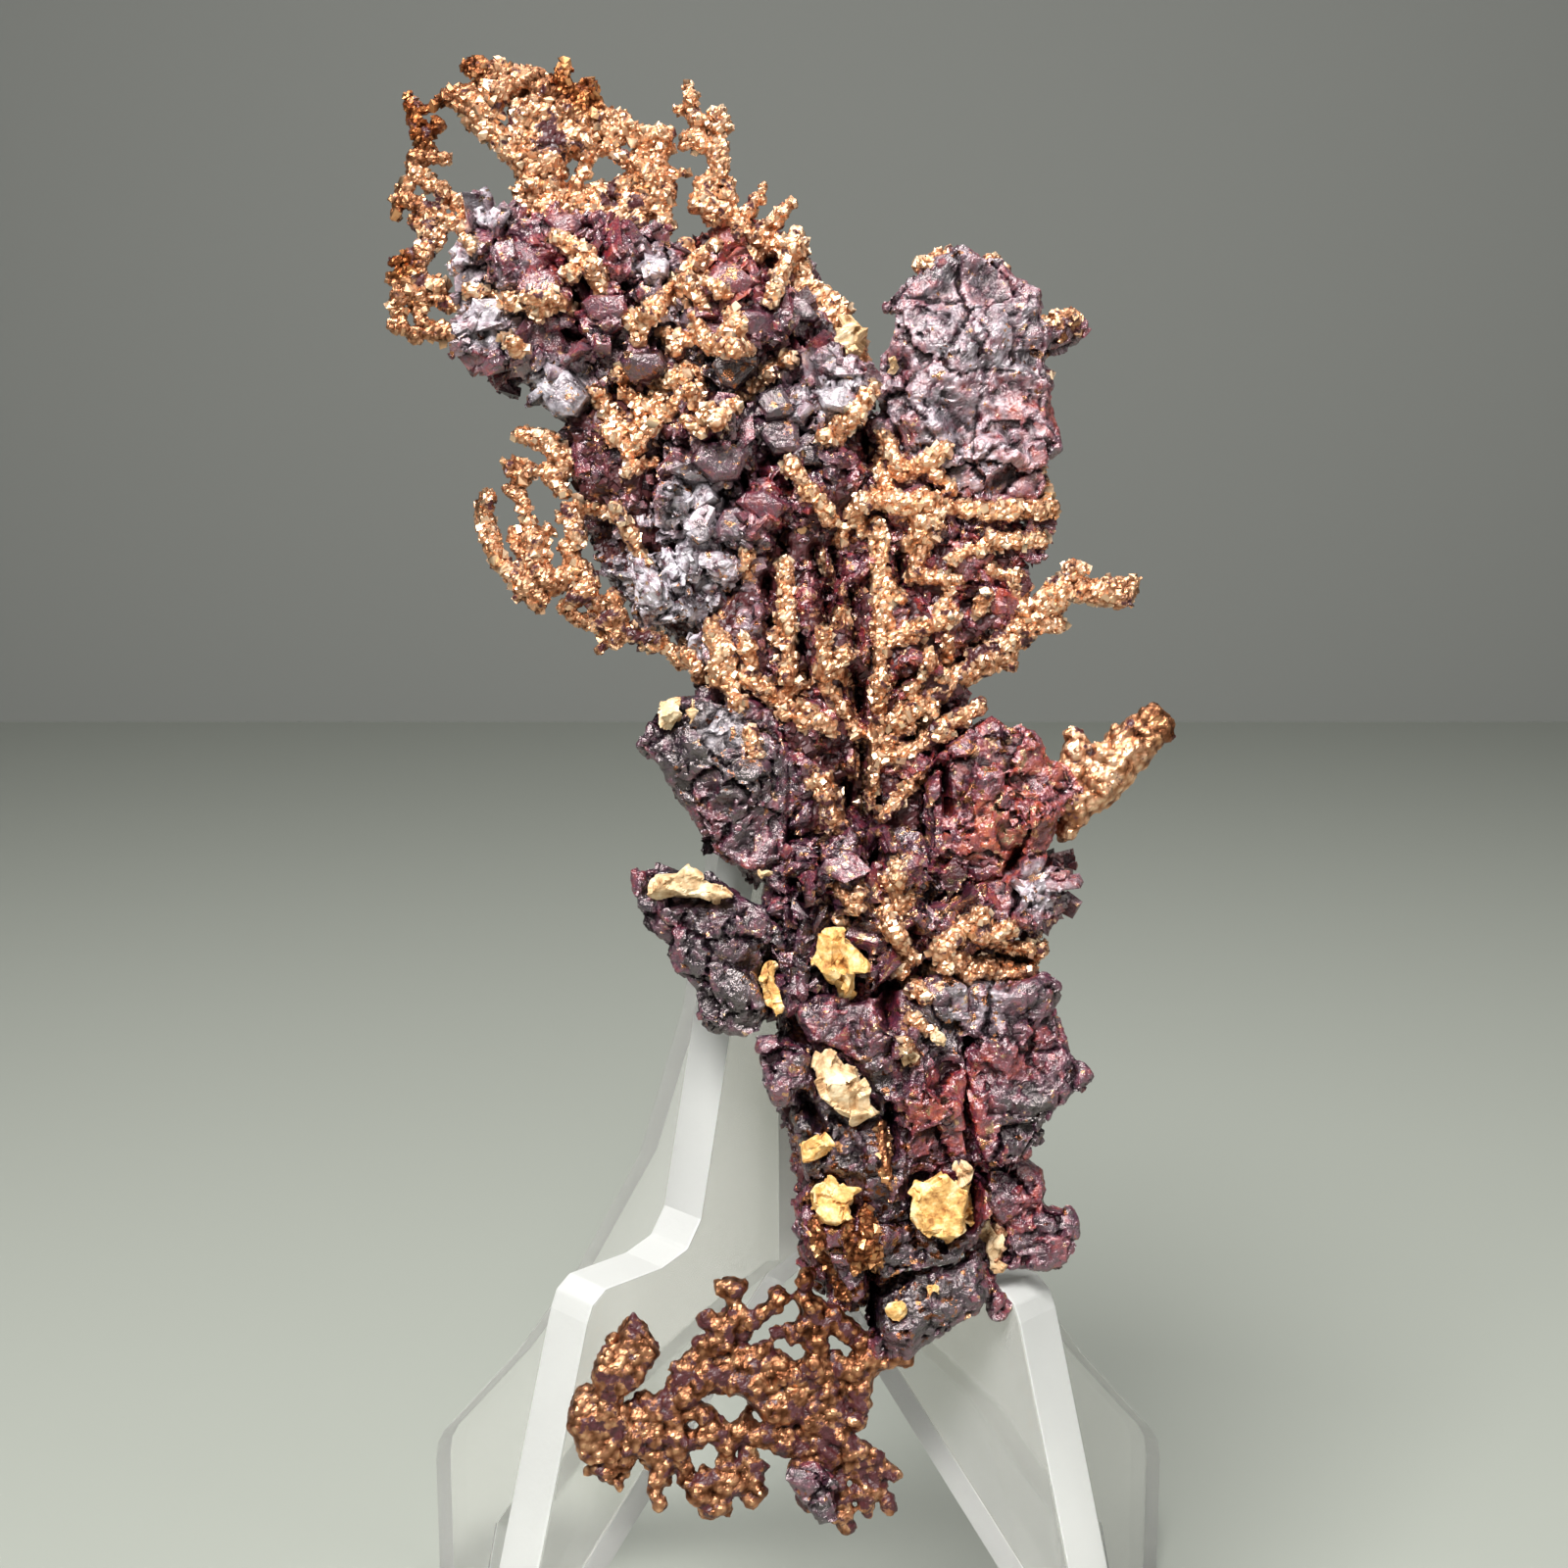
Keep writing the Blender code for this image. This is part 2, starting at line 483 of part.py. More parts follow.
def copper_branches(grow, copper):
    """The copper, from the crown at the top to the foot."""
    fine = {"grid": 0.24, "relief": 0.35}
    grow("copper_crown", copper, 900, [
        ("slab", [(476, 60), (490, 58), (518, 64), (548, 66), (559, 72), (581, 78), (604, 99), (607, 122),
                  (615, 117),
                  (638, 119), (645, 129), (681, 133), (684, 147), (681, 168), (685, 183), (684, 216),
                  (680, 234), (640, 238),
                  (612, 214), (592, 216), (575, 208), (556, 215), (556, 226), (529, 226), (530, 178),
                  (523, 165), (505, 150),
                  (485, 129), (469, 109), (468, 80)], -36, 14),
        ("rod", [(564, 80, -10, 9), (576, 58, -10, 6)]), ("rod", [(586, 100, -10, 9), (597, 83, -10, 6)]),
        ("rod", [(676, 184, -8, 10), (702, 175, -8, 7)]), ("rod", [(542, 170, 4, 14), (542, 230, 0, 13)]),
        ("lump", 500, 84, 8, 20, 18, 14), ("lump", 540, 96, 10, 22, 20, 14),
        ("lump", 576, 120, 12, 24, 20, 14),
        ("lump", 530, 130, 8, 18, 20, 14), ("lump", 600, 145, 8, 18, 14, 14),
        ("lump", 650, 150, 10, 24, 14, 14),
        ("lump", 664, 196, 10, 18, 26, 14), ("lump", 580, 188, 8, 14, 14, 14)],
        holes=[ring(622, 179, 21, 11), ring(588, 162, 6, 6)], **fine)
    grow("copper_thin_arm", copper, 560, [
        ("rod", [(474, 100, -12, 10), (456, 97, -10, 9), (444, 106, -10, 9), (428, 112, -8, 12),
                 (419, 98, -8, 10)]),
        ("rod", [(428, 112, -8, 10), (425, 132, -8, 10), (434, 152, -8, 9), (428, 170, -8, 10),
                 (440, 185, -10, 10),
                 (461, 205, -12, 10), (478, 218, -14, 10)]),
        ("rod", [(426, 131, -8, 8), (453, 131, -8, 7)]), ("rod", [(432, 158, -8, 8), (457, 161, -8, 7)]),
        ("rod", [(440, 186, -10, 9), (412, 188, -10, 9), (405, 204, -10, 9), (408, 217, -10, 9),
                 (430, 216, -10, 9),
                 (447, 230, -10, 10), (462, 232, -12, 10)]),
        ("slab", [(428, 226), (418, 238), (444, 246), (426, 254), (406, 262), (400, 272), (403, 295),
                  (403, 344), (421, 351),
                  (459, 350), (474, 344), (478, 300), (474, 250), (464, 224)], -34, 6),
        ("lump", 418, 300, 2, 15, 20, 14), ("lump", 440, 330, 4, 20, 16, 14),
        ("lump", 440, 270, 2, 18, 14, 14)],
        holes=[ring(464, 326, 8, 6)], **fine)
    grow("copper_second_branch", copper, 420, [
        ("slab", [(695, 90), (703, 84), (711, 93), (722, 118), (735, 111), (744, 126), (745, 162),
                  (750, 206), (764, 218),
                  (775, 187), (784, 190), (777, 222), (790, 226), (805, 203), (813, 208), (804, 238),
                  (820, 246), (812, 284),
                  (796, 300), (770, 262), (735, 258), (712, 244), (700, 215), (711, 203), (705, 185),
                  (708, 170), (698, 147),
                  (703, 126), (690, 116)], -34, 12),
        ("lump", 722, 150, 8, 16, 24, 12), ("lump", 726, 200, 8, 18, 22, 12),
        ("lump", 780, 240, 6, 20, 14, 12),
        ("lump", 746, 236, 10, 20, 14, 14)], **fine)
    grow("copper_left_arms", copper, 700, [
        ("slab", [(527, 441), (557, 440), (581, 463), (583, 483), (566, 504), (578, 501), (592, 512),
                  (613, 515), (624, 521),
                  (630, 545), (644, 580), (652, 610), (700, 636), (716, 676), (692, 681), (684, 667),
                  (662, 654), (626, 662),
                  (611, 669), (604, 654), (585, 634), (570, 618), (549, 621), (531, 616), (514, 598),
                  (516, 592), (493, 564),
                  (483, 530), (487, 514), (498, 503), (506, 530), (508, 554), (524, 573), (560, 574),
                  (578, 586), (594, 576),
                  (596, 545), (586, 526), (566, 520), (553, 512), (556, 500), (541, 482), (536, 470),
                  (519, 474)], -36, 8),
        ("rod", [(520, 506, -10, 10), (534, 520, -10, 10), (546, 538, -10, 10), (546, 560, -12, 10)]),
        ("lump", 560, 466, 6, 16, 18, 12), ("lump", 532, 594, 6, 18, 14, 12),
        ("lump", 610, 600, 8, 20, 22, 14),
        ("lump", 660, 642, 6, 22, 12, 12)], **fine)
    grow("copper_right_fingers", copper, 400, [
        ("rod", [(975, 520, -10, 14), (1010, 521, -6, 12), (1045, 525, -4, 11), (1070, 526, -4, 8)]),
        ("rod", [(965, 556, -10, 14), (1010, 555, -4, 11), (1058, 556, -4, 8)]),
        ("slab", [(893, 428), (912, 436), (932, 478), (965, 508), (1000, 512), (1008, 540), (1004, 572),
                  (1036, 576), (1047, 591),
                  (1040, 606), (1000, 612), (940, 606), (924, 560), (906, 500), (894, 460)], -50, 4),
        ("lump", 980, 580, 4, 22, 16, 14)], **fine)
    grow("copper_branch_upper_right", copper, 420, [
        ("slab", [(905, 738), (930, 700), (960, 670), (1000, 652), (1024, 640), (1046, 608), (1060, 596),
                  (1075, 587),
                  (1097, 574), (1108, 580), (1111, 590), (1122, 587), (1153, 583), (1160, 602),
                  (1151, 630), (1128, 623),
                  (1109, 609), (1101, 623), (1084, 634), (1077, 645), (1050, 656), (1038, 675),
                  (1000, 682), (975, 702),
                  (952, 735), (930, 756)], -32, 8),
        ("rod", [(950, 742, 0, 14), (978, 732, 2, 11), (999, 721, 2, 8)]),
        ("lump", 1134, 604, 0, 20, 18, 18),
        ("lump", 1070, 612, 6, 22, 16, 12), ("lump", 1016, 664, 6, 22, 14, 12)], **fine)
    grow("copper_branch_lower_right", copper, 300, [
        ("slab", [(1070, 776), (1088, 750), (1096, 744), (1110, 750), (1136, 743), (1156, 725),
                  (1179, 719), (1196, 740),
                  (1196, 761), (1182, 779), (1151, 795), (1131, 805), (1108, 825), (1090, 843),
                  (1070, 859), (1054, 881),
                  (1044, 874), (1060, 830)], -32, 8),
        ("lump", 1168, 750, 4, 22, 20, 14), ("lump", 1110, 782, 6, 22, 18, 12),
        ("lump", 1080, 830, 4, 14, 20, 12)], **fine)
    grow("copper_centre_lumps", copper, 320, [
        ("rod", [(946, 789, 24, 14), (926, 812, 30, 16), (900, 834, 26, 15)]),
        ("rod", [(890, 776, 26, 17), (920, 766, 28, 15), (956, 746, 22, 12)]),
        ("lump", 882, 812, 22, 22, 24, 22),
        ("rod", [(838, 784, 26, 14), (840, 812, 26, 16), (862, 838, 16, 14), (890, 830, 16, 14)]),
        ("rod", [(880, 862, 20, 9), (900, 874, 22, 9), (914, 882, 18, 9)])], **fine)
    grow("copper_small_fingers", copper, 260, [
        ("rod", [(960, 968, -8, 16), (1000, 968, -4, 13), (1036, 972, -4, 11), (1061, 970, -4, 8)]),
        ("rod", [(980, 986, -8, 14), (1020, 992, -4, 12), (1054, 997, -4, 9)]),
        ("slab", [(912, 976), (960, 950), (1040, 950), (1056, 968), (1050, 1000), (1024, 1008),
                  (960, 1012), (916, 1010)], -34, 0),
        ("lump", 985, 962, 6, 18, 16, 14), ("lump", 938, 972, 8, 16, 20, 14)], **fine)
    grow("copper_foot_arm", copper, 220, [
        ("slab", [(643, 1346), (656, 1358), (672, 1380), (659, 1394), (655, 1404), (643, 1413),
                  (637, 1404), (633, 1420),
                  (630, 1440), (640, 1446), (630, 1486), (596, 1484), (588, 1449), (592, 1418),
                  (612, 1418), (614, 1393),
                  (624, 1370), (636, 1374), (636, 1356)], -8, 22), ("lump", 650, 1378, 6, 14, 18, 12)],
                  **fine)
    grow("copper_foot", copper, 1150, [
        ("slab", [(744, 1301), (762, 1311), (767, 1332), (790, 1314), (807, 1323), (830, 1332),
                  (860, 1318), (893, 1374),
                  (928, 1390), (911, 1402), (897, 1418), (888, 1441), (877, 1461), (878, 1472),
                  (897, 1486), (920, 1494),
                  (923, 1508), (903, 1512), (915, 1536), (911, 1549), (900, 1543), (891, 1550),
                  (876, 1551), (869, 1568),
                  (857, 1563), (846, 1546), (829, 1546), (813, 1535), (806, 1511), (798, 1490),
                  (770, 1484), (780, 1492),
                  (775, 1507), (784, 1525), (768, 1542), (755, 1529), (745, 1537), (728, 1551),
                  (706, 1532), (678, 1515),
                  (682, 1535), (672, 1546), (658, 1526), (650, 1515), (633, 1523), (597, 1501),
                  (618, 1485), (636, 1468),
                  (642, 1440), (658, 1421), (681, 1413), (686, 1390), (709, 1365), (714, 1343),
                  (732, 1330), (731, 1314)],
         -20, 20),
        ("rod", [(732, 1457, 22, 10), (780, 1464, 26, 11), (830, 1476, 22, 10)]),
        ("lump", 750, 1410, 16, 34, 22, 14),
        ("lump", 820, 1400, 14, 30, 34, 14), ("lump", 870, 1400, 10, 24, 30, 14),
        ("lump", 700, 1440, 12, 30, 24, 14),
        ("lump", 850, 1460, 8, 26, 26, 14), ("lump", 740, 1520, 8, 22, 20, 14),
        ("lump", 800, 1350, 8, 20, 16, 14)],
        holes=[ring(720, 1492, 11, 13), ring(814, 1377, 8, 9)], **fine)
    grow("copper_core_head", copper, 520, [
        ("slab", [(598, 392), (690, 380), (704, 300), (712, 230), (790, 236), (820, 262), (856, 330),
                  (880, 400), (896, 440),
                  (912, 480), (930, 540), (930, 600), (820, 606), (740, 600), (650, 606), (612, 570),
                  (600, 530), (588, 484),
                  (588, 430)], -84, 2),
        ("lump", 700, 430, 10, 30, 30, 20), ("lump", 850, 500, 10, 30, 40, 20),
        ("lump", 640, 500, 4, 26, 40, 20)],
        holes=[ring(604, 418, 12, 12), ring(655, 475, 9, 11), ring(918, 556, 9, 12)])
    grow("copper_core_middle", copper, 480, [
        ("slab", [(650, 612), (740, 604), (830, 602), (930, 596), (960, 590), (1000, 600), (1034, 606),
                  (1020, 640),
                  (990, 668), (985, 700), (972, 750), (966, 800), (966, 860), (930, 900), (820, 894),
                  (770, 890), (728, 840),
                  (690, 770), (720, 700), (694, 640)], -84, 4),
        ("lump", 760, 660, 12, 34, 36, 18), ("lump", 850, 660, 14, 30, 44, 18),
        ("lump", 820, 750, 12, 34, 30, 18),
        ("lump", 940, 690, 8, 24, 30, 18)],
        holes=[ring(877, 712, 8, 12), ring(858, 772, 7, 7)])
    grow("copper_stem", copper, 320, [
        ("slab", [(796, 890), (940, 884), (960, 960), (1000, 1000), (1030, 1060), (1012, 1180),
                  (960, 1236), (924, 1290),
                  (905, 1330), (860, 1340), (826, 1300), (820, 1200), (806, 1130), (800, 1000)], -78,
                  -2)],
        holes=[ring(841, 1296, 8, 17)])


# ---------------------------------------------------------------- the easel

PLATE = [(22.6, 0.0), (27.4, 0.0), (27.3, 1.2), (17.2, 36.6), (16.8, 37.5), (15.9, 38.1), (12.0, 38.1),
         (10.2, 38.6),
         (9.2, 40.0), (4.6, 60.6), (3.8, 61.8), (2.6, 62.2), (-3.8, 62.2), (-5.0, 61.7), (-5.6, 60.5),
         (-8.4, 48.0),
         (-12.4, 38.0), (-18.4, 29.0), (-25.0, 21.0), (-33.4, 12.4), (-34.2, 11.2), (-34.5, 9.8),
         (-34.5, 0.0),
         (-29.6, 0.0), (-27.6, 7.6), (-18.0, 20.0), (-7.5, 30.3), (-2.8, 34.4), (0.0, 35.3), (2.8, 34.4),
         (7.5, 30.3),
         (12.6, 25.6), (17.0, 21.6), (20.6, 12.5)]
LAP = (34.0, 49.0, 64.0)   # where the slots start, meet and end, up the crossing


def plate_mesh():
    """One plate of the easel: its side outline, as thick as the sheet."""
    curve = bpy.data.curves.new("plate", "CURVE")
    curve.dimensions = "2D"
    curve.fill_mode = "BOTH"
    curve.extrude = SHEET / 2
    spline = curve.splines.new("POLY")
    spline.points.add(len(PLATE) - 1)
    for point, (forward, up) in zip(spline.points, PLATE):
        point.co = (forward, up, 0.0, 1.0)
    spline.use_cyclic_u = True
    item = work_object(curve, "plate")
    mesh = evaluated(item)
    bpy.data.objects.remove(item, do_unlink=True)
    bm = bmesh.new()
    bm.from_mesh(mesh)
    bmesh.ops.remove_doubles(bm, verts=bm.verts, dist=WELD)
    bm.to_mesh(mesh)
    bm.free()
    return mesh


def easel_plate(name, material, home, turn, low, high):
    """A plate with its half-lap slot between two heights, standing across the other one."""
    slot = bmesh.new()
    size = Matrix.Diagonal((SHEET + 2 * SLOT_PLAY, high - low, SHEET * 3, 1.0))
    bmesh.ops.create_cube(slot, size=1.0, matrix=Matrix.Translation((0, (low + high) / 2, 0)) @ size)
    cutter_mesh = bpy.data.meshes.new("slot")
    slot.to_mesh(cutter_mesh)
    slot.free()
    cutter = work_object(cutter_mesh, "slot")
    mesh = with_modifier(plate_mesh(), "BOOLEAN", operation="DIFFERENCE", solver="EXACT", object=cutter)
    bpy.data.objects.remove(cutter, do_unlink=True)
    upright = Matrix.Rotation(math.radians(90), 4, "X")
    forward = Matrix.Rotation(math.radians(-90 + turn), 4, "Z")
    place = Matrix.Scale(METRES, 4) @ Matrix.Translation((0, -crossing_offset(), 0)) @ forward @ upright
    mesh.transform(place)
    mesh.materials.clear()
    mesh.materials.append(material)
    item = bpy.data.objects.new(name, mesh)
    home.objects.link(item)
    return item


def main():
    clear_scene()
    home = make_collection(COLLECTION)
    copper = make_material("native_copper", (0.63, 0.27, 0.14), 1.0, 0.42)
    cuprite = make_material("cuprite", (0.19, 0.06, 0.07), 0.0, 0.22)
    sand = make_material("calcite_grain", (0.74, 0.58, 0.36), 0.0, 0.6)
    ochre = make_material("ochre_grain", (0.66, 0.40, 0.10), 0.0, 0.6)
    acrylic = make_material("clear_acrylic", (0.93, 0.95, 0.94), 0.0, 0.12, 0.3)
    specimen = Specimen(home)
    matrix_grains(specimen.grow, sand, ochre)
    front_copper(specimen.grow, copper)
    cuprite_crusts(specimen.grow, cuprite)
    copper_branches(specimen.grow, copper)
    start, middle, end = LAP
    easel_plate("easel_plate_left", acrylic, home, -45, middle - SLOT_PLAY, end)
    easel_plate("easel_plate_right", acrylic, home, 45, start - SLOT_OVERRUN, middle)


main()
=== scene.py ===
"""Looks for the cuprite on native copper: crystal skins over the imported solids, the easel, and the stage."""

import json
import math
import random

import bmesh
import bpy
import numpy as np
from mathutils import Matrix, Vector
from mathutils.bvhtree import BVHTree

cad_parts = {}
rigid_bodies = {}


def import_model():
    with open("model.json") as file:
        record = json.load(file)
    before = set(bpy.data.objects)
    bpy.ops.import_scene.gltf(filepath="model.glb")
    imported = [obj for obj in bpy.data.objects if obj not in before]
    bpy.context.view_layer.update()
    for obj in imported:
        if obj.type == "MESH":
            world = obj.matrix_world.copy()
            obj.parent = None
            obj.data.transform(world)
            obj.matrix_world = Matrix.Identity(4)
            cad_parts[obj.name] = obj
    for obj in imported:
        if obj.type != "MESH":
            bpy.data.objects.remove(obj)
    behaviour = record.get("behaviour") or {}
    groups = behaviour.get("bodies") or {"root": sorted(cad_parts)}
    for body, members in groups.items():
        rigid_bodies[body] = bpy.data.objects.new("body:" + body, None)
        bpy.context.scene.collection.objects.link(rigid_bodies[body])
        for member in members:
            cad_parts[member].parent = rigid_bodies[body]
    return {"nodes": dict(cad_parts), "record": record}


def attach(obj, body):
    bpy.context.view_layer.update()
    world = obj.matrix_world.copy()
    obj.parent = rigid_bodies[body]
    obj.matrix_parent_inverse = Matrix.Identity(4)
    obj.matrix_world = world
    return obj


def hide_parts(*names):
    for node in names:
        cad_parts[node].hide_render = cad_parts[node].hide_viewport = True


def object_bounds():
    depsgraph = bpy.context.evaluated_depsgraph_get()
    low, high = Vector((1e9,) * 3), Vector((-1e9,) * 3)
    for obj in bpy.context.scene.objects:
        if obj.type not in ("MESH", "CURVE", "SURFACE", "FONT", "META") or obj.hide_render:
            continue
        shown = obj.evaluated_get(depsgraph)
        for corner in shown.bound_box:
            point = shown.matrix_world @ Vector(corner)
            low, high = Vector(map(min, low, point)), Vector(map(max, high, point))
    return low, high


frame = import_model()
CAD_BOX = [list(corner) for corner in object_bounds()]

bl_info = {
    "name": "Cuprite on native copper",
    "version": (1, 0, 0),
    "blender": (4, 5, 0),
    "location": "3D View > Sidebar > Specimen",
    "description": "Grows the copper, the cuprite and the grains over the packed solids, and sets the stage",
    "category": "Object",
}

MM = 0.001

# The specimen's board: units are twentieths of a millimetre, across and down from its top left corner.
# A place "as seen" is where the eye, EYE units in front of the board's middle, sees a point.
UNIT = 0.05 * MM
HALF = 800
EYE = 2200
LEAN = math.radians(10.5)
FOOT = Vector((-1.0, -18.51, 24.6)) * MM
ACROSS = Vector((1, 0, 0))
UP = Vector((0, math.sin(LEAN), math.cos(LEAN)))
OUT = Vector((0, -math.cos(LEAN), math.sin(LEAN)))


def board(x, y, w=0.0):
    """A point of the leaning board, in metres: x across, y down, w towards the viewer."""
    return FOOT + UNIT * ((x - HALF) * ACROSS + (2 * HALF - y) * UP + w * OUT)


def seen(u, v, w=0.0):
    """The point at depth w that is seen at u, v."""
    scale = (EYE - w) / EYE
    return board(HALF + (u - HALF) * scale, HALF + (v - HALF) * scale, w)


def as_seen(points):
    """Where points, an array in metres, are seen, and how far in front of the board: u, v and depth."""
    away = (points - np.array(FOOT)) / UNIT
    depth = away @ np.array(OUT)
    scale = EYE / (EYE - depth)
    u = HALF + away @ np.array(ACROSS) * scale
    v = HALF + (HALF - away @ np.array(UP)) * scale
    return u, v, depth


def linear(hex_colour):
    """An sRGB hex colour as linear RGBA."""
    channels = [int(hex_colour[i:i + 2], 16) / 255 for i in (1, 3, 5)]
    return tuple(c / 12.92 if c <= 0.04045 else ((c + 0.055) / 1.055) ** 2.4 for c in channels) + (1.0,)


# ---------------------------------------------------------------- nodes

MATH = "ShaderNodeMath"
VECTOR_MATH = "ShaderNodeVectorMath"
RANGE = "ShaderNodeMapRange"
MIX = "ShaderNodeMix"
RAMP = "ShaderNodeValToRGB"
BUMP = "ShaderNodeBump"
JOIN = "GeometryNodeJoinGeometry"
STORED = "ShaderNodeAttribute"
STORE = "GeometryNodeStoreNamedAttribute"
CELLS = "ShaderNodeTexVoronoi"
PLACE = "GeometryNodeInputPosition"
NORMAL = "GeometryNodeInputNormal"
MOVE = "GeometryNodeSetPosition"
RANDOM = "FunctionNodeRandomValue"
GREY = (0.5, 0.5, 0.5)


def live(value):
    """A node's first live output. Anything else is given back as it is."""
    if isinstance(value, bpy.types.Node):
        return next(output for output in value.outputs if output.enabled)
    return value


def add(tree, kind, ins=None, stops=(), **settings):
    """Add a node with its settings. A value in ins is a node or a socket to link from, a list of these, or
    a constant. The stops are a ramp's positions and hex colours."""
    node = tree.nodes.new(kind)
    for key, value in settings.items():
        setattr(node, key, value)
    while stops and len(node.color_ramp.elements) < len(stops):
        node.color_ramp.elements.new(0.5)
    for number, (position, colour) in enumerate(stops):
        node.color_ramp.elements[number].position = position
        node.color_ramp.elements[number].color = linear(colour)
    for key, value in (ins or {}).items():
        for source in value if isinstance(value, list) else [value]:
            source = live(source)
            if isinstance(source, bpy.types.NodeSocket):
                tree.links.new(source, node.inputs[key])
            else:
                node.inputs[key].default_value = source
    return node


def weighted(tree, *shares):
    """The sum of some values, each times its weight."""
    total = 0.0
    for value, weight in shares:
        share = add(tree, MATH, {0: value, 1: weight}, operation="MULTIPLY")
        total = add(tree, MATH, {0: total, 1: share}, operation="ADD")
    return total


# ---------------------------------------------------------------- materials

# Copper's colours by height: on the skin the dark low end is painted shade at a grain's foot and the pale high
# end a painted highlight on its top.
COPPER_FRESH = [(0.2, "#6f3c27"), (0.4, "#c48860"), (0.58, "#e6b48f"), (0.8, "#f8d8b6")]
COPPER_DULL = [(0.2, "#1b0a04"), (0.45, "#582b17"), (0.62, "#905530"), (0.85, "#d09764")]
CUPRITE_TONES = [(0.0, "#0a090e"), (0.2, "#241825"), (0.4, "#51283a"), (0.6, "#6e2130"), (0.8, "#933224"),
                 (1.0, "#ad542c")]
NOISE_LOW, NOISE_HIGH = 0.3, 0.7  # nearly all of a noise lies between these
HOLLOW_LOW, HOLLOW_HIGH = 0.1, 1.1  # from a grain's shoulder to the bottom of a hollow
ACRYLIC_IOR = 1.49


def new_material(name):
    """A material with an empty tree."""
    material = bpy.data.materials.new(name)
    material.use_nodes = True
    material.node_tree.nodes.clear()
    return material, material.node_tree


def finish_material(material, ins):
    """Give a material its shader, with these inputs."""
    tree = material.node_tree
    shader = add(tree, "ShaderNodeBsdfPrincipled", ins)
    add(tree, "ShaderNodeOutputMaterial", {"Surface": shader})
    return material


def patches(tree, size_mm, detail=3.0, roughness=0.55):
    """Uneven patches this many millimetres across."""
    where = add(tree, "ShaderNodeTexCoord").outputs["Object"]
    return add(tree, "ShaderNodeTexNoise", {
        "Vector": where, "Scale": 1 / (size_mm * MM), "Detail": detail, "Roughness": roughness})


def uneven(tree, size_mm, low, high):
    """A value that wanders between low and high, in patches this many millimetres across."""
    return add(tree, RANGE, {"Value": patches(tree, size_mm), "From Min": NOISE_LOW, "From Max": NOISE_HIGH,
                             "To Min": low, "To Max": high})


def in_hollows(tree, low, high):
    """A value that goes from low on the shoulders to high in the hollows."""
    hollow = add(tree, STORED, attribute_name="hollow").outputs["Fac"]
    return add(tree, RANGE, {"Value": hollow, "From Min": HOLLOW_LOW, "From Max": HOLLOW_HIGH,
                             "To Min": low, "To Max": high})


def shaded(tree, colour, dark):
    """The colour, darkened towards this one in the hollows: painted shade, with the dark film that lies there.
    """
    depth = in_hollows(tree, 0.0, 0.92)
    return add(tree, MIX, {"Factor": depth, "A": colour, "B": linear(dark)}, data_type="RGBA")


def copper_colour(tree):
    """Painted highlight on top of a grain and painted shade at its foot, browner where the copper has dulled.
    """
    tint = add(tree, STORED, attribute_name="tint").outputs["Fac"]
    dull = add(tree, STORED, attribute_name="dull").outputs["Fac"]
    height = weighted(tree, (tint, 0.7), (patches(tree, 1.6), 0.3))
    fresh = add(tree, RAMP, {"Fac": height}, stops=COPPER_FRESH)
    tarnished = add(tree, RAMP, {"Fac": height}, stops=COPPER_DULL)
    return add(tree, MIX, {"Factor": dull, "A": fresh, "B": tarnished}, data_type="RGBA")


def native_copper(settings):
    """Native copper in fine grains: bright gold-salmon with a painted highlight on each grain's top and
    painted shade in the hollows, browner where tarnished. The finest grain is drawn 0.1 mm across, coarse
    enough to show."""
    material, tree = new_material("native_copper_granular")
    coat = add(tree, STORED, attribute_name="coat").outputs["Fac"]
    cover = weighted(tree, (patches(tree, 0.9, 4.0, 0.6), 1.0), (coat, 0.12))
    coated = add(tree, RANGE, {"Value": cover, "From Min": 0.6, "From Max": 0.65})
    bare = add(tree, MATH, {0: 1.0, 1: coated}, operation="SUBTRACT")
    bright = copper_colour(tree)
    colour = add(tree, MIX, {"Factor": coated, "A": bright, "B": settings.coat}, data_type="RGBA")
    relief = add(tree, BUMP, {"Height": patches(tree, 0.1, 2.0), "Strength": 0.4, "Distance": 0.05 * MM})
    return finish_material(material, {
        # Near black in the hollows: painted shade, with the dark film there.
        "Base Color": shaded(tree, colour, "#1a0a08"), "Metallic": bare,
        "Roughness": uneven(tree, 0.5, 0.34, 0.54), "Normal": relief})


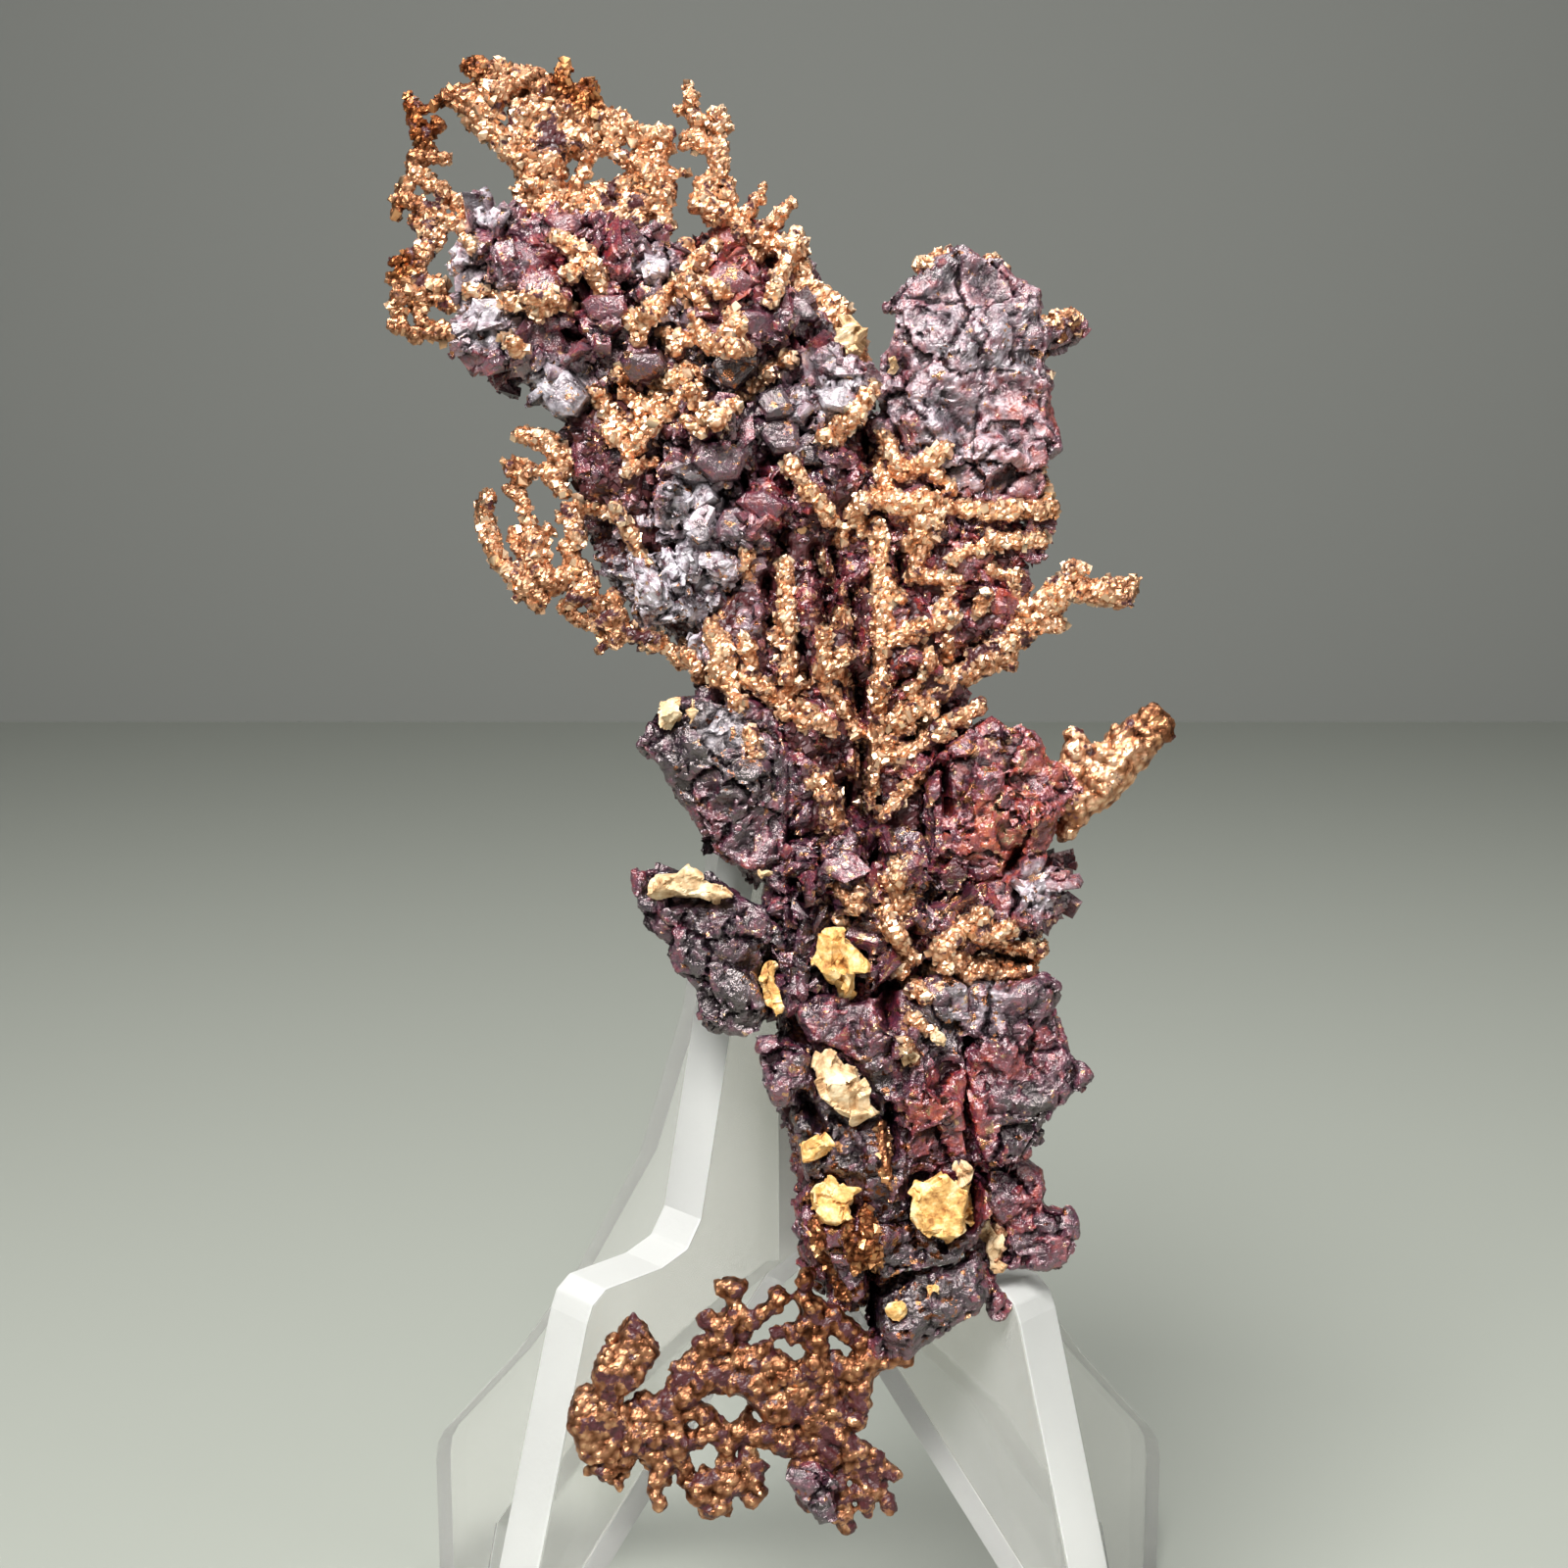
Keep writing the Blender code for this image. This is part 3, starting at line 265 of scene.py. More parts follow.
def cuprite(settings):
    """Cuprite crystals: near-metallic lustre on blue-black, violet-grey and dark red, flecked with copper. A
    pale silvery colour in patches is painted sheen, and the hollows hold painted shade with weaker
    reflections.
    """
    material, tree = new_material("cuprite_crystal")
    tone, tint, silver, fleck = [add(tree, STORED, attribute_name=name).outputs["Fac"]
                                 for name in ("tone", "tint", "silver", "fleck")]
    height = weighted(tree, (tone, 1.0), (tint, 0.34), (patches(tree, 2.2), 0.4),
                      (patches(tree, 0.4, 4.0, 0.6), 1.0), (-0.87, 1.0))
    # Painted sheen: a pale silvery colour in patches where the silver zones lie.
    painted_sheen = add(tree, MATH, {0: silver, 1: uneven(tree, 0.6, -0.2, 1.5)}, operation="MULTIPLY")
    crystal = add(tree, RAMP, {"Fac": height}, stops=CUPRITE_TONES)
    body = add(tree, MIX, {"Factor": painted_sheen, "A": crystal, "B": settings.painted_sheen}, data_type="RGBA")
    cover = weighted(tree, (patches(tree, 0.55, 4.0, 0.62), 1.0), (fleck, 0.12))
    flecked = add(tree, RANGE, {"Value": cover, "From Min": 0.66, "From Max": 0.69})
    colour = add(tree, MIX, {"Factor": flecked, "A": body, "B": copper_colour(tree)}, data_type="RGBA")
    where = add(tree, "ShaderNodeTexCoord").outputs["Object"]
    edges = add(tree, CELLS, {"Vector": where, "Scale": 1 / (0.55 * MM)}, feature="DISTANCE_TO_EDGE")
    cracks = add(tree, RANGE, {"Value": edges, "From Max": 0.12})
    rough = weighted(tree, (patches(tree, 0.2, 4.0, 0.65), 1.6), (cracks, 0.35))
    relief = add(tree, BUMP, {"Height": rough, "Strength": 0.9, "Distance": 0.06 * MM})
    return finish_material(material, {
        # Near black in the hollows, with weaker reflections there: painted shade, with the dark film there.
        "Base Color": shaded(tree, colour, "#0c0508"), "Metallic": flecked, "IOR": 2.1,
        "Specular IOR Level": in_hollows(tree, 0.62, 0.1), "Specular Tint": linear("#fff0ec"),
        "Roughness": uneven(tree, 0.8, 0.14, 0.34), "Normal": relief})


def host_rock(name, pale, middle, dark):
    """Granular calcite and limonite-stained rock: dull, with darker pits."""
    material, tree = new_material(name)
    stain = add(tree, RAMP, {"Fac": patches(tree, 0.7, 5.0, 0.65)},
                stops=[(0.32, dark), (0.5, middle), (0.66, pale)])
    relief = add(tree, BUMP, {"Height": patches(tree, 0.2), "Strength": 0.5, "Distance": 0.08 * MM})
    return finish_material(material, {"Base Color": stain, "Roughness": 0.72, "Normal": relief})


def acrylic_face():
    """Cast acrylic sheet: clear and glossy. Its scratches are too fine to show, so duller patches 2 mm
    across stand for them."""
    material, tree = new_material("acrylic_clear")
    return finish_material(material, {
        "Base Color": linear("#fcfbf8"), "Transmission Weight": 0.86, "IOR": ACRYLIC_IOR,
        "Roughness": uneven(tree, 2.0, 0.02, 0.09)})


def acrylic_edge(settings):
    """The sheet's sawn edges: frosted whitish. The saw marks are drawn 0.5 mm apart, coarse enough to
    show."""
    material, tree = new_material("acrylic_sawn_edge")
    marks = add(tree, BUMP, {"Height": patches(tree, 0.5, 4.0), "Strength": 0.25, "Distance": 0.05 * MM})
    return finish_material(material, {
        "Base Color": settings.frost, "Transmission Weight": 0.45, "IOR": ACRYLIC_IOR,
        "Roughness": 0.45, "Normal": marks})


def plain_surface(name, colour, roughness):
    """An even dull surface, such as paint or paper."""
    material, _ = new_material(name)
    return finish_material(material, {"Base Color": colour, "Roughness": roughness})


# ---------------------------------------------------------------- growth trees

def new_tree(name, sizes):
    """An empty geometry tree with these named float inputs, a seed and a material."""
    tree = bpy.data.node_groups.new(name, "GeometryNodeTree")
    tree.interface.new_socket("Geometry", in_out="INPUT", socket_type="NodeSocketGeometry")
    for label, default in sizes.items():
        size = tree.interface.new_socket(label, in_out="INPUT", socket_type="NodeSocketFloat")
        size.default_value = default
    tree.interface.new_socket("Seed", in_out="INPUT", socket_type="NodeSocketInt").default_value = 1
    tree.interface.new_socket("Material", in_out="INPUT", socket_type="NodeSocketMaterial")
    tree.interface.new_socket("Geometry", in_out="OUTPUT", socket_type="NodeSocketGeometry")
    return tree, add(tree, "NodeGroupInput")


def finish_tree(tree, given, geometry):
    """End a tree: real faces, in its material."""
    real = add(tree, "GeometryNodeRealizeInstances", {"Geometry": geometry})
    dressed = add(tree, "GeometryNodeSetMaterial", {"Geometry": real, "Material": given.outputs["Material"]})
    add(tree, "NodeGroupOutput", {0: dressed})
    return tree


def chunk_shapes(tree):
    """Irregular broken chunks about two units across, as instances to pick from."""
    shapes = []
    for number in range(5):
        ball = add(tree, "GeometryNodeMeshIcoSphere", {"Radius": 1.0, "Subdivisions": 1})
        cloud = add(tree, "ShaderNodeTexNoise", {"Vector": add(tree, PLACE), "W": number * 3.7, "Scale": 1.1},
                    noise_dimensions="4D")
        away = add(tree, VECTOR_MATH, {0: cloud.outputs["Color"], 1: GREY}, operation="SUBTRACT")
        shift = add(tree, VECTOR_MATH, {0: away, "Scale": 1.5}, operation="SCALE")
        bent = add(tree, MOVE, {"Geometry": ball, "Offset": shift})
        shapes.append(add(tree, "GeometryNodeGeometryToInstance", {0: bent}))
    return add(tree, JOIN, {0: shapes})


def sharp_shapes(tree):
    """Sharp broken crystals about two units across, as instances to pick from, with painted shade on their
    undersides.
    """
    shapes = []
    for number in range(8):
        block = add(tree, "GeometryNodeMeshCube", {"Size": (1.5, 1.5, 1.5)})
        shift = add(tree, RANDOM, {"Min": (-0.42, -0.42, -0.42), "Max": (0.42, 0.42, 0.42), "Seed": number},
                    data_type="FLOAT_VECTOR")
        bent = add(tree, MOVE, {"Geometry": block, "Offset": shift})
        hull = add(tree, "GeometryNodeConvexHull", {"Geometry": bent})
        # Painted shade: the lower a point lies in its crystal, the deeper its hollow.
        height = add(tree, "ShaderNodeSeparateXYZ", {0: add(tree, PLACE)}).outputs["Z"]
        depth = add(tree, RANGE, {"Value": height, "From Min": -0.7, "From Max": 0.5,
                                  "To Min": 1.0, "To Max": 0.0})
        noted = add(tree, STORE, {"Geometry": hull, "Name": "hollow", "Value": depth},
                    domain="POINT", data_type="FLOAT")
        flat = add(tree, "GeometryNodeSetShadeSmooth", {"Geometry": noted, "Shade Smooth": False})
        shapes.append(add(tree, "GeometryNodeGeometryToInstance", {0: flat}))
    return add(tree, JOIN, {0: shapes})


def scattered(tree, given, shapes, ease, tip):
    """Shapes scattered over the given geometry and sunk into it. A higher ease makes more of them small."""
    seed = given.outputs["Seed"]
    points = add(tree, "GeometryNodeDistributePointsOnFaces", {
        "Mesh": given.outputs["Geometry"], "Density": given.outputs["Density"], "Seed": seed})
    chance = add(tree, RANDOM, {"Seed": seed}, data_type="FLOAT")
    eased = add(tree, MATH, {0: chance, 1: ease}, operation="POWER")
    size = add(tree, RANGE, {"Value": eased, "To Min": given.outputs["Smallest"],
                             "To Max": given.outputs["Largest"]})
    rise = add(tree, MATH, {0: given.outputs["Sink"], 1: -1.0}, operation="MULTIPLY")
    depth = add(tree, MATH, {0: size, 1: rise}, operation="MULTIPLY")
    shift = add(tree, VECTOR_MATH, {0: points.outputs["Normal"], "Scale": depth}, operation="SCALE")
    sunk = add(tree, MOVE, {"Geometry": points, "Offset": shift})
    tilt = add(tree, RANDOM, {"Min": (-tip, -tip, 0.0), "Max": (tip, tip, math.tau), "Seed": seed},
               data_type="FLOAT_VECTOR")
    turned = add(tree, "FunctionNodeRotateRotation", {
        "Rotation": points.outputs["Rotation"], "Rotate By": tilt}, rotation_space="LOCAL")
    flat = add(tree, "ShaderNodeCombineXYZ", {"X": 1.0, "Y": 1.0, "Z": given.outputs["Flatness"]})
    stretch = add(tree, RANDOM, {"Min": (0.7, 0.7, 0.8), "Max": (1.3, 1.3, 1.2), "Seed": seed},
                  data_type="FLOAT_VECTOR")
    shape = add(tree, VECTOR_MATH, {0: stretch, 1: flat}, operation="MULTIPLY")
    scale = add(tree, VECTOR_MATH, {0: shape, "Scale": size}, operation="SCALE")
    return add(tree, "GeometryNodeInstanceOnPoints", {
        "Points": sunk, "Instance": shapes, "Pick Instance": True, "Rotation": turned, "Scale": scale})


def crust_tree(name, keep_body):
    """Broken chunks strewn over a body and sunk into it, with the body or without it."""
    tree, given = new_tree(name, {"Density": 1e6, "Smallest": 0.3 * MM, "Largest": 1.0 * MM, "Flatness": 0.6,
                                  "Sink": 0.25, "Swell": 0.0})
    parts = [scattered(tree, given, chunk_shapes(tree), 2.0, 0.5)]
    if keep_body:
        offset = add(tree, VECTOR_MATH, {0: add(tree, NORMAL), "Scale": given.outputs["Swell"]},
                     operation="SCALE")
        parts.append(add(tree, MOVE, {"Geometry": given.outputs["Geometry"], "Offset": offset}))
    return finish_tree(tree, given, add(tree, JOIN, {0: parts}))


def crystal_tree():
    """Sharp crystals strewn over a finished skin, each with one tint and its own place as its home."""
    tree, given = new_tree("sharp_crystals", {
        "Density": 1e6, "Smallest": 0.1 * MM, "Largest": 0.3 * MM, "Flatness": 0.6, "Sink": 0.2,
        "Darkest": 0.0, "Lightest": 1.0})
    strewn = scattered(tree, given, sharp_shapes(tree), 1.6, 0.35)
    shade = add(tree, RANDOM, {2: given.outputs["Darkest"], 3: given.outputs["Lightest"],
                               "Seed": given.outputs["Seed"]}, data_type="FLOAT")
    tinted = add(tree, STORE, {"Geometry": strewn, "Name": "tint", "Value": shade},
                 domain="INSTANCE", data_type="FLOAT")
    placed = add(tree, STORE, {"Geometry": tinted, "Name": "home", "Value": add(tree, PLACE)},
                 domain="INSTANCE", data_type="FLOAT_VECTOR")
    together = add(tree, JOIN, {0: [placed, given.outputs["Geometry"]]})
    return finish_tree(tree, given, together)


def wave(tree, where, size, detail, roughness=0.5):
    """A smooth rise and fall about nought, whose waves are this long."""
    scale = add(tree, MATH, {0: 1.0, 1: size}, operation="DIVIDE")
    cloud = add(tree, "ShaderNodeTexNoise", {
        "Vector": where, "Scale": scale, "Detail": detail, "Roughness": roughness})
    return add(tree, MATH, {0: cloud, 1: 0.5}, operation="SUBTRACT")


def cells(tree, where, size, **settings):
    """Cells about this far across."""
    scale = add(tree, MATH, {0: 1.0, 1: size}, operation="DIVIDE")
    return add(tree, CELLS, {"Vector": where, "Scale": scale}, **settings)


def facet(tree, where, size, tilt, step, distance):
    """The height of a surface broken into tilted flat cells, and each cell's random number."""
    cell = cells(tree, where, size, feature="F1", distance=distance)
    away = add(tree, VECTOR_MATH, {0: where, 1: cell.outputs["Position"]}, operation="SUBTRACT")
    lean = add(tree, VECTOR_MATH, {0: cell.outputs["Color"], 1: GREY}, operation="SUBTRACT")
    slope = add(tree, VECTOR_MATH, {0: away, 1: lean}, operation="DOT_PRODUCT")
    parts = add(tree, "ShaderNodeSeparateXYZ", {0: cell.outputs["Color"]})
    level = add(tree, MATH, {0: parts.outputs["X"], 1: 0.5}, operation="SUBTRACT")
    return weighted(tree, (slope, tilt), (level, step)), parts.outputs["Y"]


def raised(tree, given, height):
    """The given geometry with its points moved out by this height, and shaken a little."""
    out = add(tree, VECTOR_MATH, {0: add(tree, NORMAL), "Scale": height}, operation="SCALE")
    shake = add(tree, RANDOM, {"Min": (-1, -1, -1), "Max": (1, 1, 1)}, data_type="FLOAT_VECTOR")
    roughening = add(tree, VECTOR_MATH, {0: shake, "Scale": given.outputs["Roughening"]}, operation="SCALE")
    offset = add(tree, VECTOR_MATH, {0: out, 1: roughening}, operation="ADD")
    return add(tree, MOVE, {"Geometry": given.outputs["Geometry"], "Offset": offset})


def finish_skin(tree, given, body, tint, base):
    """End a skin's tree. Each point keeps its tint and its hollow, which is how far it lies below its
    surroundings, in tenths of a millimetre, plus a base depth. The materials paint shade where the hollow is
    deep."""
    toned = add(tree, STORE, {"Geometry": body, "Name": "tint", "Value": tint},
                domain="POINT", data_type="FLOAT")
    where = add(tree, PLACE)
    blurred = add(tree, "GeometryNodeBlurAttribute", {"Value": where, "Iterations": 9},
                  data_type="FLOAT_VECTOR")
    away = add(tree, VECTOR_MATH, {0: blurred, 1: where}, operation="SUBTRACT")
    below = add(tree, VECTOR_MATH, {0: away, 1: add(tree, NORMAL)}, operation="DOT_PRODUCT")
    tenths = add(tree, MATH, {0: below, 1: 0.1 * MM}, operation="DIVIDE")
    depth = add(tree, MATH, {0: tenths, 1: base}, operation="ADD")
    noted = add(tree, STORE, {"Geometry": toned, "Name": "hollow", "Value": depth},
                domain="POINT", data_type="FLOAT")
    flat = add(tree, "GeometryNodeSetShadeSmooth", {"Geometry": noted, "Shade Smooth": False})
    return finish_tree(tree, given, flat)


def copper_tree():
    """Copper's skin: a wavy body with rounded grains pushed out of it. The tint is the height of a grain,
    which the colour turns into a painted highlight on top and painted shade at the foot.
    """
    tree, given = new_tree("copper_grains", {
        "Wave Size": 0.9 * MM, "Wave Height": 0.25 * MM, "Grain Size": 0.3 * MM, "Grain Height": 0.2 * MM,
        "Roughening": 0.03 * MM})
    where = add(tree, PLACE)
    rise = wave(tree, where, given.outputs["Wave Size"], 2.0)
    grain = cells(tree, where, given.outputs["Grain Size"], feature="F1")
    dome = add(tree, MATH, {0: 0.62, 1: grain.outputs["Distance"]}, operation="SUBTRACT")
    total = weighted(tree, (rise, given.outputs["Wave Height"]), (dome, given.outputs["Grain Height"]))
    tint = weighted(tree, (dome, 1.1), (0.45, 1.0))
    return finish_skin(tree, given, raised(tree, given, total), tint, 0.0)


def cuprite_tree():
    """Cuprite's skin: broken into tilted plates, and these into small facets. The tint is a facet's own."""
    tree, given = new_tree("cuprite_facets", {
        "Plate Size": 2.5 * MM, "Plate Step": 0.35 * MM, "Plate Tilt": 0.7, "Crack Depth": 0.5 * MM,
        "Facet Size": 0.75 * MM, "Facet Step": 0.08 * MM, "Facet Tilt": 0.7, "Fine Size": 0.5 * MM,
        "Fine Height": 0.1 * MM, "Roughening": 0.008 * MM})
    where = add(tree, PLACE)
    cloud = add(tree, "ShaderNodeTexNoise", {"Vector": where, "Scale": 1 / (1.2 * MM), "Detail": 2.0})
    away = add(tree, VECTOR_MATH, {0: cloud.outputs["Color"], 1: GREY}, operation="SUBTRACT")
    shift = add(tree, VECTOR_MATH, {0: away, "Scale": 1.1 * MM}, operation="SCALE")
    bent = add(tree, VECTOR_MATH, {0: where, 1: shift}, operation="ADD")
    plates, _ = facet(tree, bent, given.outputs["Plate Size"], given.outputs["Plate Tilt"],
                      given.outputs["Plate Step"], "EUCLIDEAN")
    facets, own = facet(tree, where, given.outputs["Facet Size"], given.outputs["Facet Tilt"],
                        given.outputs["Facet Step"], "CHEBYCHEV")
    edge = cells(tree, bent, given.outputs["Plate Size"], feature="DISTANCE_TO_EDGE")
    crack = add(tree, RANGE, {"Value": edge, "From Max": 0.09, "To Min": -1.0, "To Max": 0.0},
                interpolation_type="SMOOTHSTEP")
    fine = wave(tree, where, given.outputs["Fine Size"], 2.0)
    total = weighted(tree, (plates, 1.0), (facets, 1.0), (crack, given.outputs["Crack Depth"]),
                     (fine, given.outputs["Fine Height"]))
    # The base depth darkens the whole crust's skin and weakens its reflections: partly the skin's darker tone,
    # partly painted shade between the crystals.
    return finish_skin(tree, given, raised(tree, given, total), own, 0.45)


def rock_tree():
    """Host rock: a lumpy broken grain with a sugary surface."""
    tree, given = new_tree("rock_lumps", {
        "Swell": -0.15 * MM, "Lump Size": 0.4 * MM, "Lump Height": 0.14 * MM,
        "Facet Size": 1.2 * MM, "Facet Tilt": 0.8, "Facet Step": 0.1 * MM})
    where = add(tree, PLACE)
    rise = wave(tree, where, given.outputs["Lump Size"], 4.0, 0.6)
    broken, _ = facet(tree, where, given.outputs["Facet Size"], given.outputs["Facet Tilt"],
                      given.outputs["Facet Step"], "EUCLIDEAN")
    total = weighted(tree, (rise, given.outputs["Lump Height"]), (broken, 1.0), (given.outputs["Swell"], 1.0))
    offset = add(tree, VECTOR_MATH, {0: add(tree, NORMAL), "Scale": total}, operation="SCALE")
    body = add(tree, MOVE, {"Geometry": given.outputs["Geometry"], "Offset": offset})
    return finish_tree(tree, given, body)


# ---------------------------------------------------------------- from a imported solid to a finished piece

WELD = 0.002 * MM
TRIM = 0.02 * MM


def link(name, data):
    """Put an object with this data into the scene."""
    item = bpy.data.objects.new(name, data)
    bpy.context.scene.collection.objects.link(item)
    return item


def bake(item):
    """Turn the object's modifiers into its plain mesh."""
    bpy.context.view_layer.update()
    graph = bpy.context.evaluated_depsgraph_get()
    made = bpy.data.meshes.new_from_object(item.evaluated_get(graph))
    item.modifiers.clear()
    item.data = made


def welded_bmesh(node):
    """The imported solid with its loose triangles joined."""
    bm = bmesh.new()
    bm.from_mesh(frame["nodes"][node].data)
    bmesh.ops.remove_doubles(bm, verts=bm.verts, dist=WELD)
    return bm


def to_mesh(bm, name):
    """A new mesh from a bmesh, which is freed."""
    mesh = bpy.data.meshes.new(name)
    bm.to_mesh(mesh)
    bm.free()
    return mesh


def solid_mesh(node):
    """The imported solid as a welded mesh."""
    return to_mesh(welded_bmesh(node), node + "_body")


def use_tree(item, tree, values, material):
    """Run a growth tree on the object, with these inputs and this material."""
    modifier = item.modifiers.new(tree.name, "NODES")
    modifier.node_group = tree
    for socket in tree.interface.items_tree:
        if socket.item_type == "SOCKET" and socket.in_out == "INPUT":
            if socket.name in values:
                modifier[socket.identifier] = values[socket.name]
            elif socket.name == "Material":
                modifier[socket.identifier] = material


def grown(name, mesh, steps, grid, smoothing, material):
    """A skin: the body after its trees, fused into one before the last, as a plain mesh."""
    item = link(name, mesh)
    *first, (last_tree, last_values) = steps
    for tree, values in first:
        use_tree(item, tree, values, material)
    remesh = item.modifiers.new("Remesh", "REMESH")
    remesh.mode = "VOXEL"
    remesh.voxel_size = grid
    if smoothing:
        item.modifiers.new("Smooth", "SMOOTH").iterations = smoothing
    use_tree(item, last_tree, last_values, material)
    bake(item)
    sink_pits(item)
    return item


def strew(item, tree, material, *sorts):
    """Scatter each sort of sharp crystal over a skin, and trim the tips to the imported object's box."""
    for values in sorts:
        use_tree(item, tree, values, material)
        bake(item)
    low, high = np.array(CAD_BOX)
    set_points(item.data, np.clip(points_of(item.data), low + TRIM, high - TRIM))


def points_of(mesh):
    """The points of a mesh, in metres."""
    points = np.empty(len(mesh.vertices) * 3, np.float32)
    mesh.vertices.foreach_get("co", points)
    return points.reshape(-1, 3)


def set_points(mesh, points):
    """Move the points of a mesh here."""
    mesh.vertices.foreach_set("co", points.astype(np.float32).ravel())
    mesh.update()


def keep(item, slot, *nodes):
    """Attach a finished piece to the root body, and hide the imported nodes that it replaces."""
    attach(item, "root")
    if nodes:
        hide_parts(*nodes)


def skins_surface():
    """Every grown skin so far, to cast rays on."""
    bm = bmesh.new()
    for item in bpy.data.objects:
        if item.name.endswith("_skin"):
            bm.from_mesh(item.data)
    if not bm.faces:
        raise RuntimeError("grow the copper and the cuprite first")
    surface = BVHTree.FromBMesh(bm)
    bm.free()
    return surface


def nodes_with(prefix):
    """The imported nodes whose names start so."""
    found = sorted(name for name in frame["nodes"] if name.startswith(prefix))
    if not found:
        raise RuntimeError(f"the frame has no node whose name starts with {prefix}")
    return found


# ---------------------------------------------------------------- zones of tone and tarnish, as seen

# Zones of a value: (u, v, radius, value)
TONE_ZONES = [
    (480, 240, 40, 0.3), (535, 262, 30, 0.42), (632, 268, 34, 0.44), (622, 314, 26, 0.42),
    (550, 290, 24, 0.6), (496, 321, 22, 0.22), (574, 229, 20, 0.55), (668, 272, 18, 0.28),
    (555, 343, 26, 0.38), (570, 400, 26, 0.15), (654, 372, 24, 0.36), (744, 240, 26, 0.78),
    (742, 284, 26, 0.5), (778, 330, 28, 0.34), (817, 317, 18, 0.3), (744, 378, 22, 0.08),
    (703, 366, 18, 0.14), (706, 325, 16, 0.4), (852, 405, 24, 0.3), (790, 410, 20, 0.1),
    (795, 444, 26, 0.26), (737, 466, 30, 0.34), (824, 465, 18, 0.2), (778, 514, 26, 0.56),
    (712, 504, 20, 0.22), (747, 536, 22, 0.34), (715, 545, 14, 0.18), (690, 600, 44, 0.22),
    (725, 572, 20, 0.32), (860, 560, 40, 0.46), (940, 560, 50, 0.58), (980, 640, 50, 0.64),
    (820, 650, 50, 0.5), (880, 700, 60, 0.55), (985, 350, 40, 0.34), (940, 300, 30, 0.45),
    (985, 400, 34, 0.42), (1030, 430, 40, 0.7), (930, 430, 30, 0.45), (1035, 310, 24, 0.35),
    (1050, 360, 22, 0.45), (720, 760, 36, 0.1), (770, 790, 30, 0.16), (750, 840, 30, 0.34),
    (830, 860, 40, 0.34), (915, 850, 30, 0.3), (1000, 790, 30, 0.58), (1050, 830, 44, 0.8),
    (1010, 870, 30, 0.76), (1060, 915, 30, 0.45), (700, 930, 34, 0.26), (740, 970, 40, 0.1),
    (760, 1020, 30, 0.08), (850, 980, 40, 0.24), (880, 1020, 26, 0.55), (950, 920, 40, 0.4),
    (960, 1040, 34, 0.2), (1020, 1040, 34, 0.34), (1060, 1030, 26, 0.4), (1042, 1128, 26, 0.02),
    (980, 1120, 44, 0.62), (1040, 1080, 30, 0.56), (803, 1090, 28, 0.3), (860, 1160, 34, 0.08),
    (900, 1220, 34, 0.2), (1040, 1240, 40, 0.52), (1080, 1270, 24, 0.42), (950, 1320, 40, 0.12),
    (835, 1520, 30, 0.26), (960, 1180, 30, 0.52), (860, 1120, 40, 0.14)]

# Painted sheen: where the cuprite takes its pale silvery colour, (u, v, radius, value).
SILVER_ZONES = [
    (570, 400, 22, 0.7), (735, 745, 14, 0.5), (800, 760, 16, 0.0), (740, 800, 24, 0.0),
    (740, 960, 60, 0.0), (496, 321, 22, 0.9), (462, 265, 16, 0.8), (496, 210, 14, 0.8),
    (680, 605, 48, 1.1), (712, 504, 20, 0.8), (852, 405, 24, 0.7), (668, 272, 14, 0.6),
    (688, 314, 12, 0.8), (660, 440, 20, 0.6), (985, 370, 60, 0.36), (1000, 450, 40, 0.46),
    (1060, 905, 16, 0.8), (1000, 1020, 20, 0.4)]

FLECK_ZONES = [
    (690, 350, 60, 0.8), (650, 420, 50, 0.9), (560, 270, 50, 0.4), (500, 290, 40, 0.6),
    (640, 340, 40, 0.6), (850, 520, 60, 0.7), (900, 600, 90, 0.8), (950, 560, 70, 0.7),
    (820, 640, 60, 0.9), (860, 740, 70, 1.1), (900, 900, 60, 1.1), (960, 960, 60, 1.1),
    (920, 860, 40, 1.0), (1030, 800, 50, 0.9), (930, 300, 30, 0.2), (1040, 440, 30, 0.3),
    (880, 1050, 50, 0.7), (880, 1270, 70, 1.3), (850, 1180, 50, 1.1), (800, 800, 30, 0.4),
    (600, 600, 40, 0.8), (700, 660, 40, 0.8), (780, 240, 40, 0.7), (1060, 360, 20, 0.7),
    (930, 1080, 40, 0.8), (980, 1200, 50, 0.7), (1000, 870, 40, 0.7), (1060, 1230, 30, 0.5)]

DULL_ZONES = [
    (420, 120, 34, 1.2), (405, 215, 20, 1.0), (408, 268, 16, 1.3), (425, 340, 34, 0.7),
    (480, 64, 20, 1.1), (576, 68, 20, 1.3), (599, 92, 20, 1.3), (640, 120, 14, 0.5), (540, 72, 20, 0.7),
    (705, 90, 12, 0.4), (520, 480, 14, 0.8), (497, 510, 16, 0.4), (550, 610, 20, 0.7),
    (612, 660, 30, 0.7), (1155, 605, 18, 0.6), (1185, 735, 26, 1.0), (1110, 820, 30, 0.5),
    (1070, 520, 16, 0.6), (1095, 335, 20, 0.7), (1064, 455, 14, 0.8), (740, 1430, 190, 0.9),
    (880, 1300, 80, 1.1), (860, 1200, 80, 1.0), (900, 900, 50, 0.35), (860, 720, 60, 0.3)]

COAT_ZONES = [
    (562, 143, 12, 2.0), (640, 215, 26, 0.8), (430, 240, 26, 0.8), (740, 220, 26, 0.6),
    (850, 640, 80, 1.0), (930, 640, 80, 1.0), (880, 560, 70, 1.0), (870, 820, 70, 0.9),
    (680, 1440, 90, 0.8), (740, 1370, 40, 1.0), (850, 1330, 50, 0.9), (640, 640, 40, 0.9),
    (1010, 560, 40, 0.7), (900, 1000, 120, 0.9), (850, 1510, 60, 1.3)]

BASE_SHARE = 0.15  # how much the base counts everywhere, against 1 in the middle of a zone


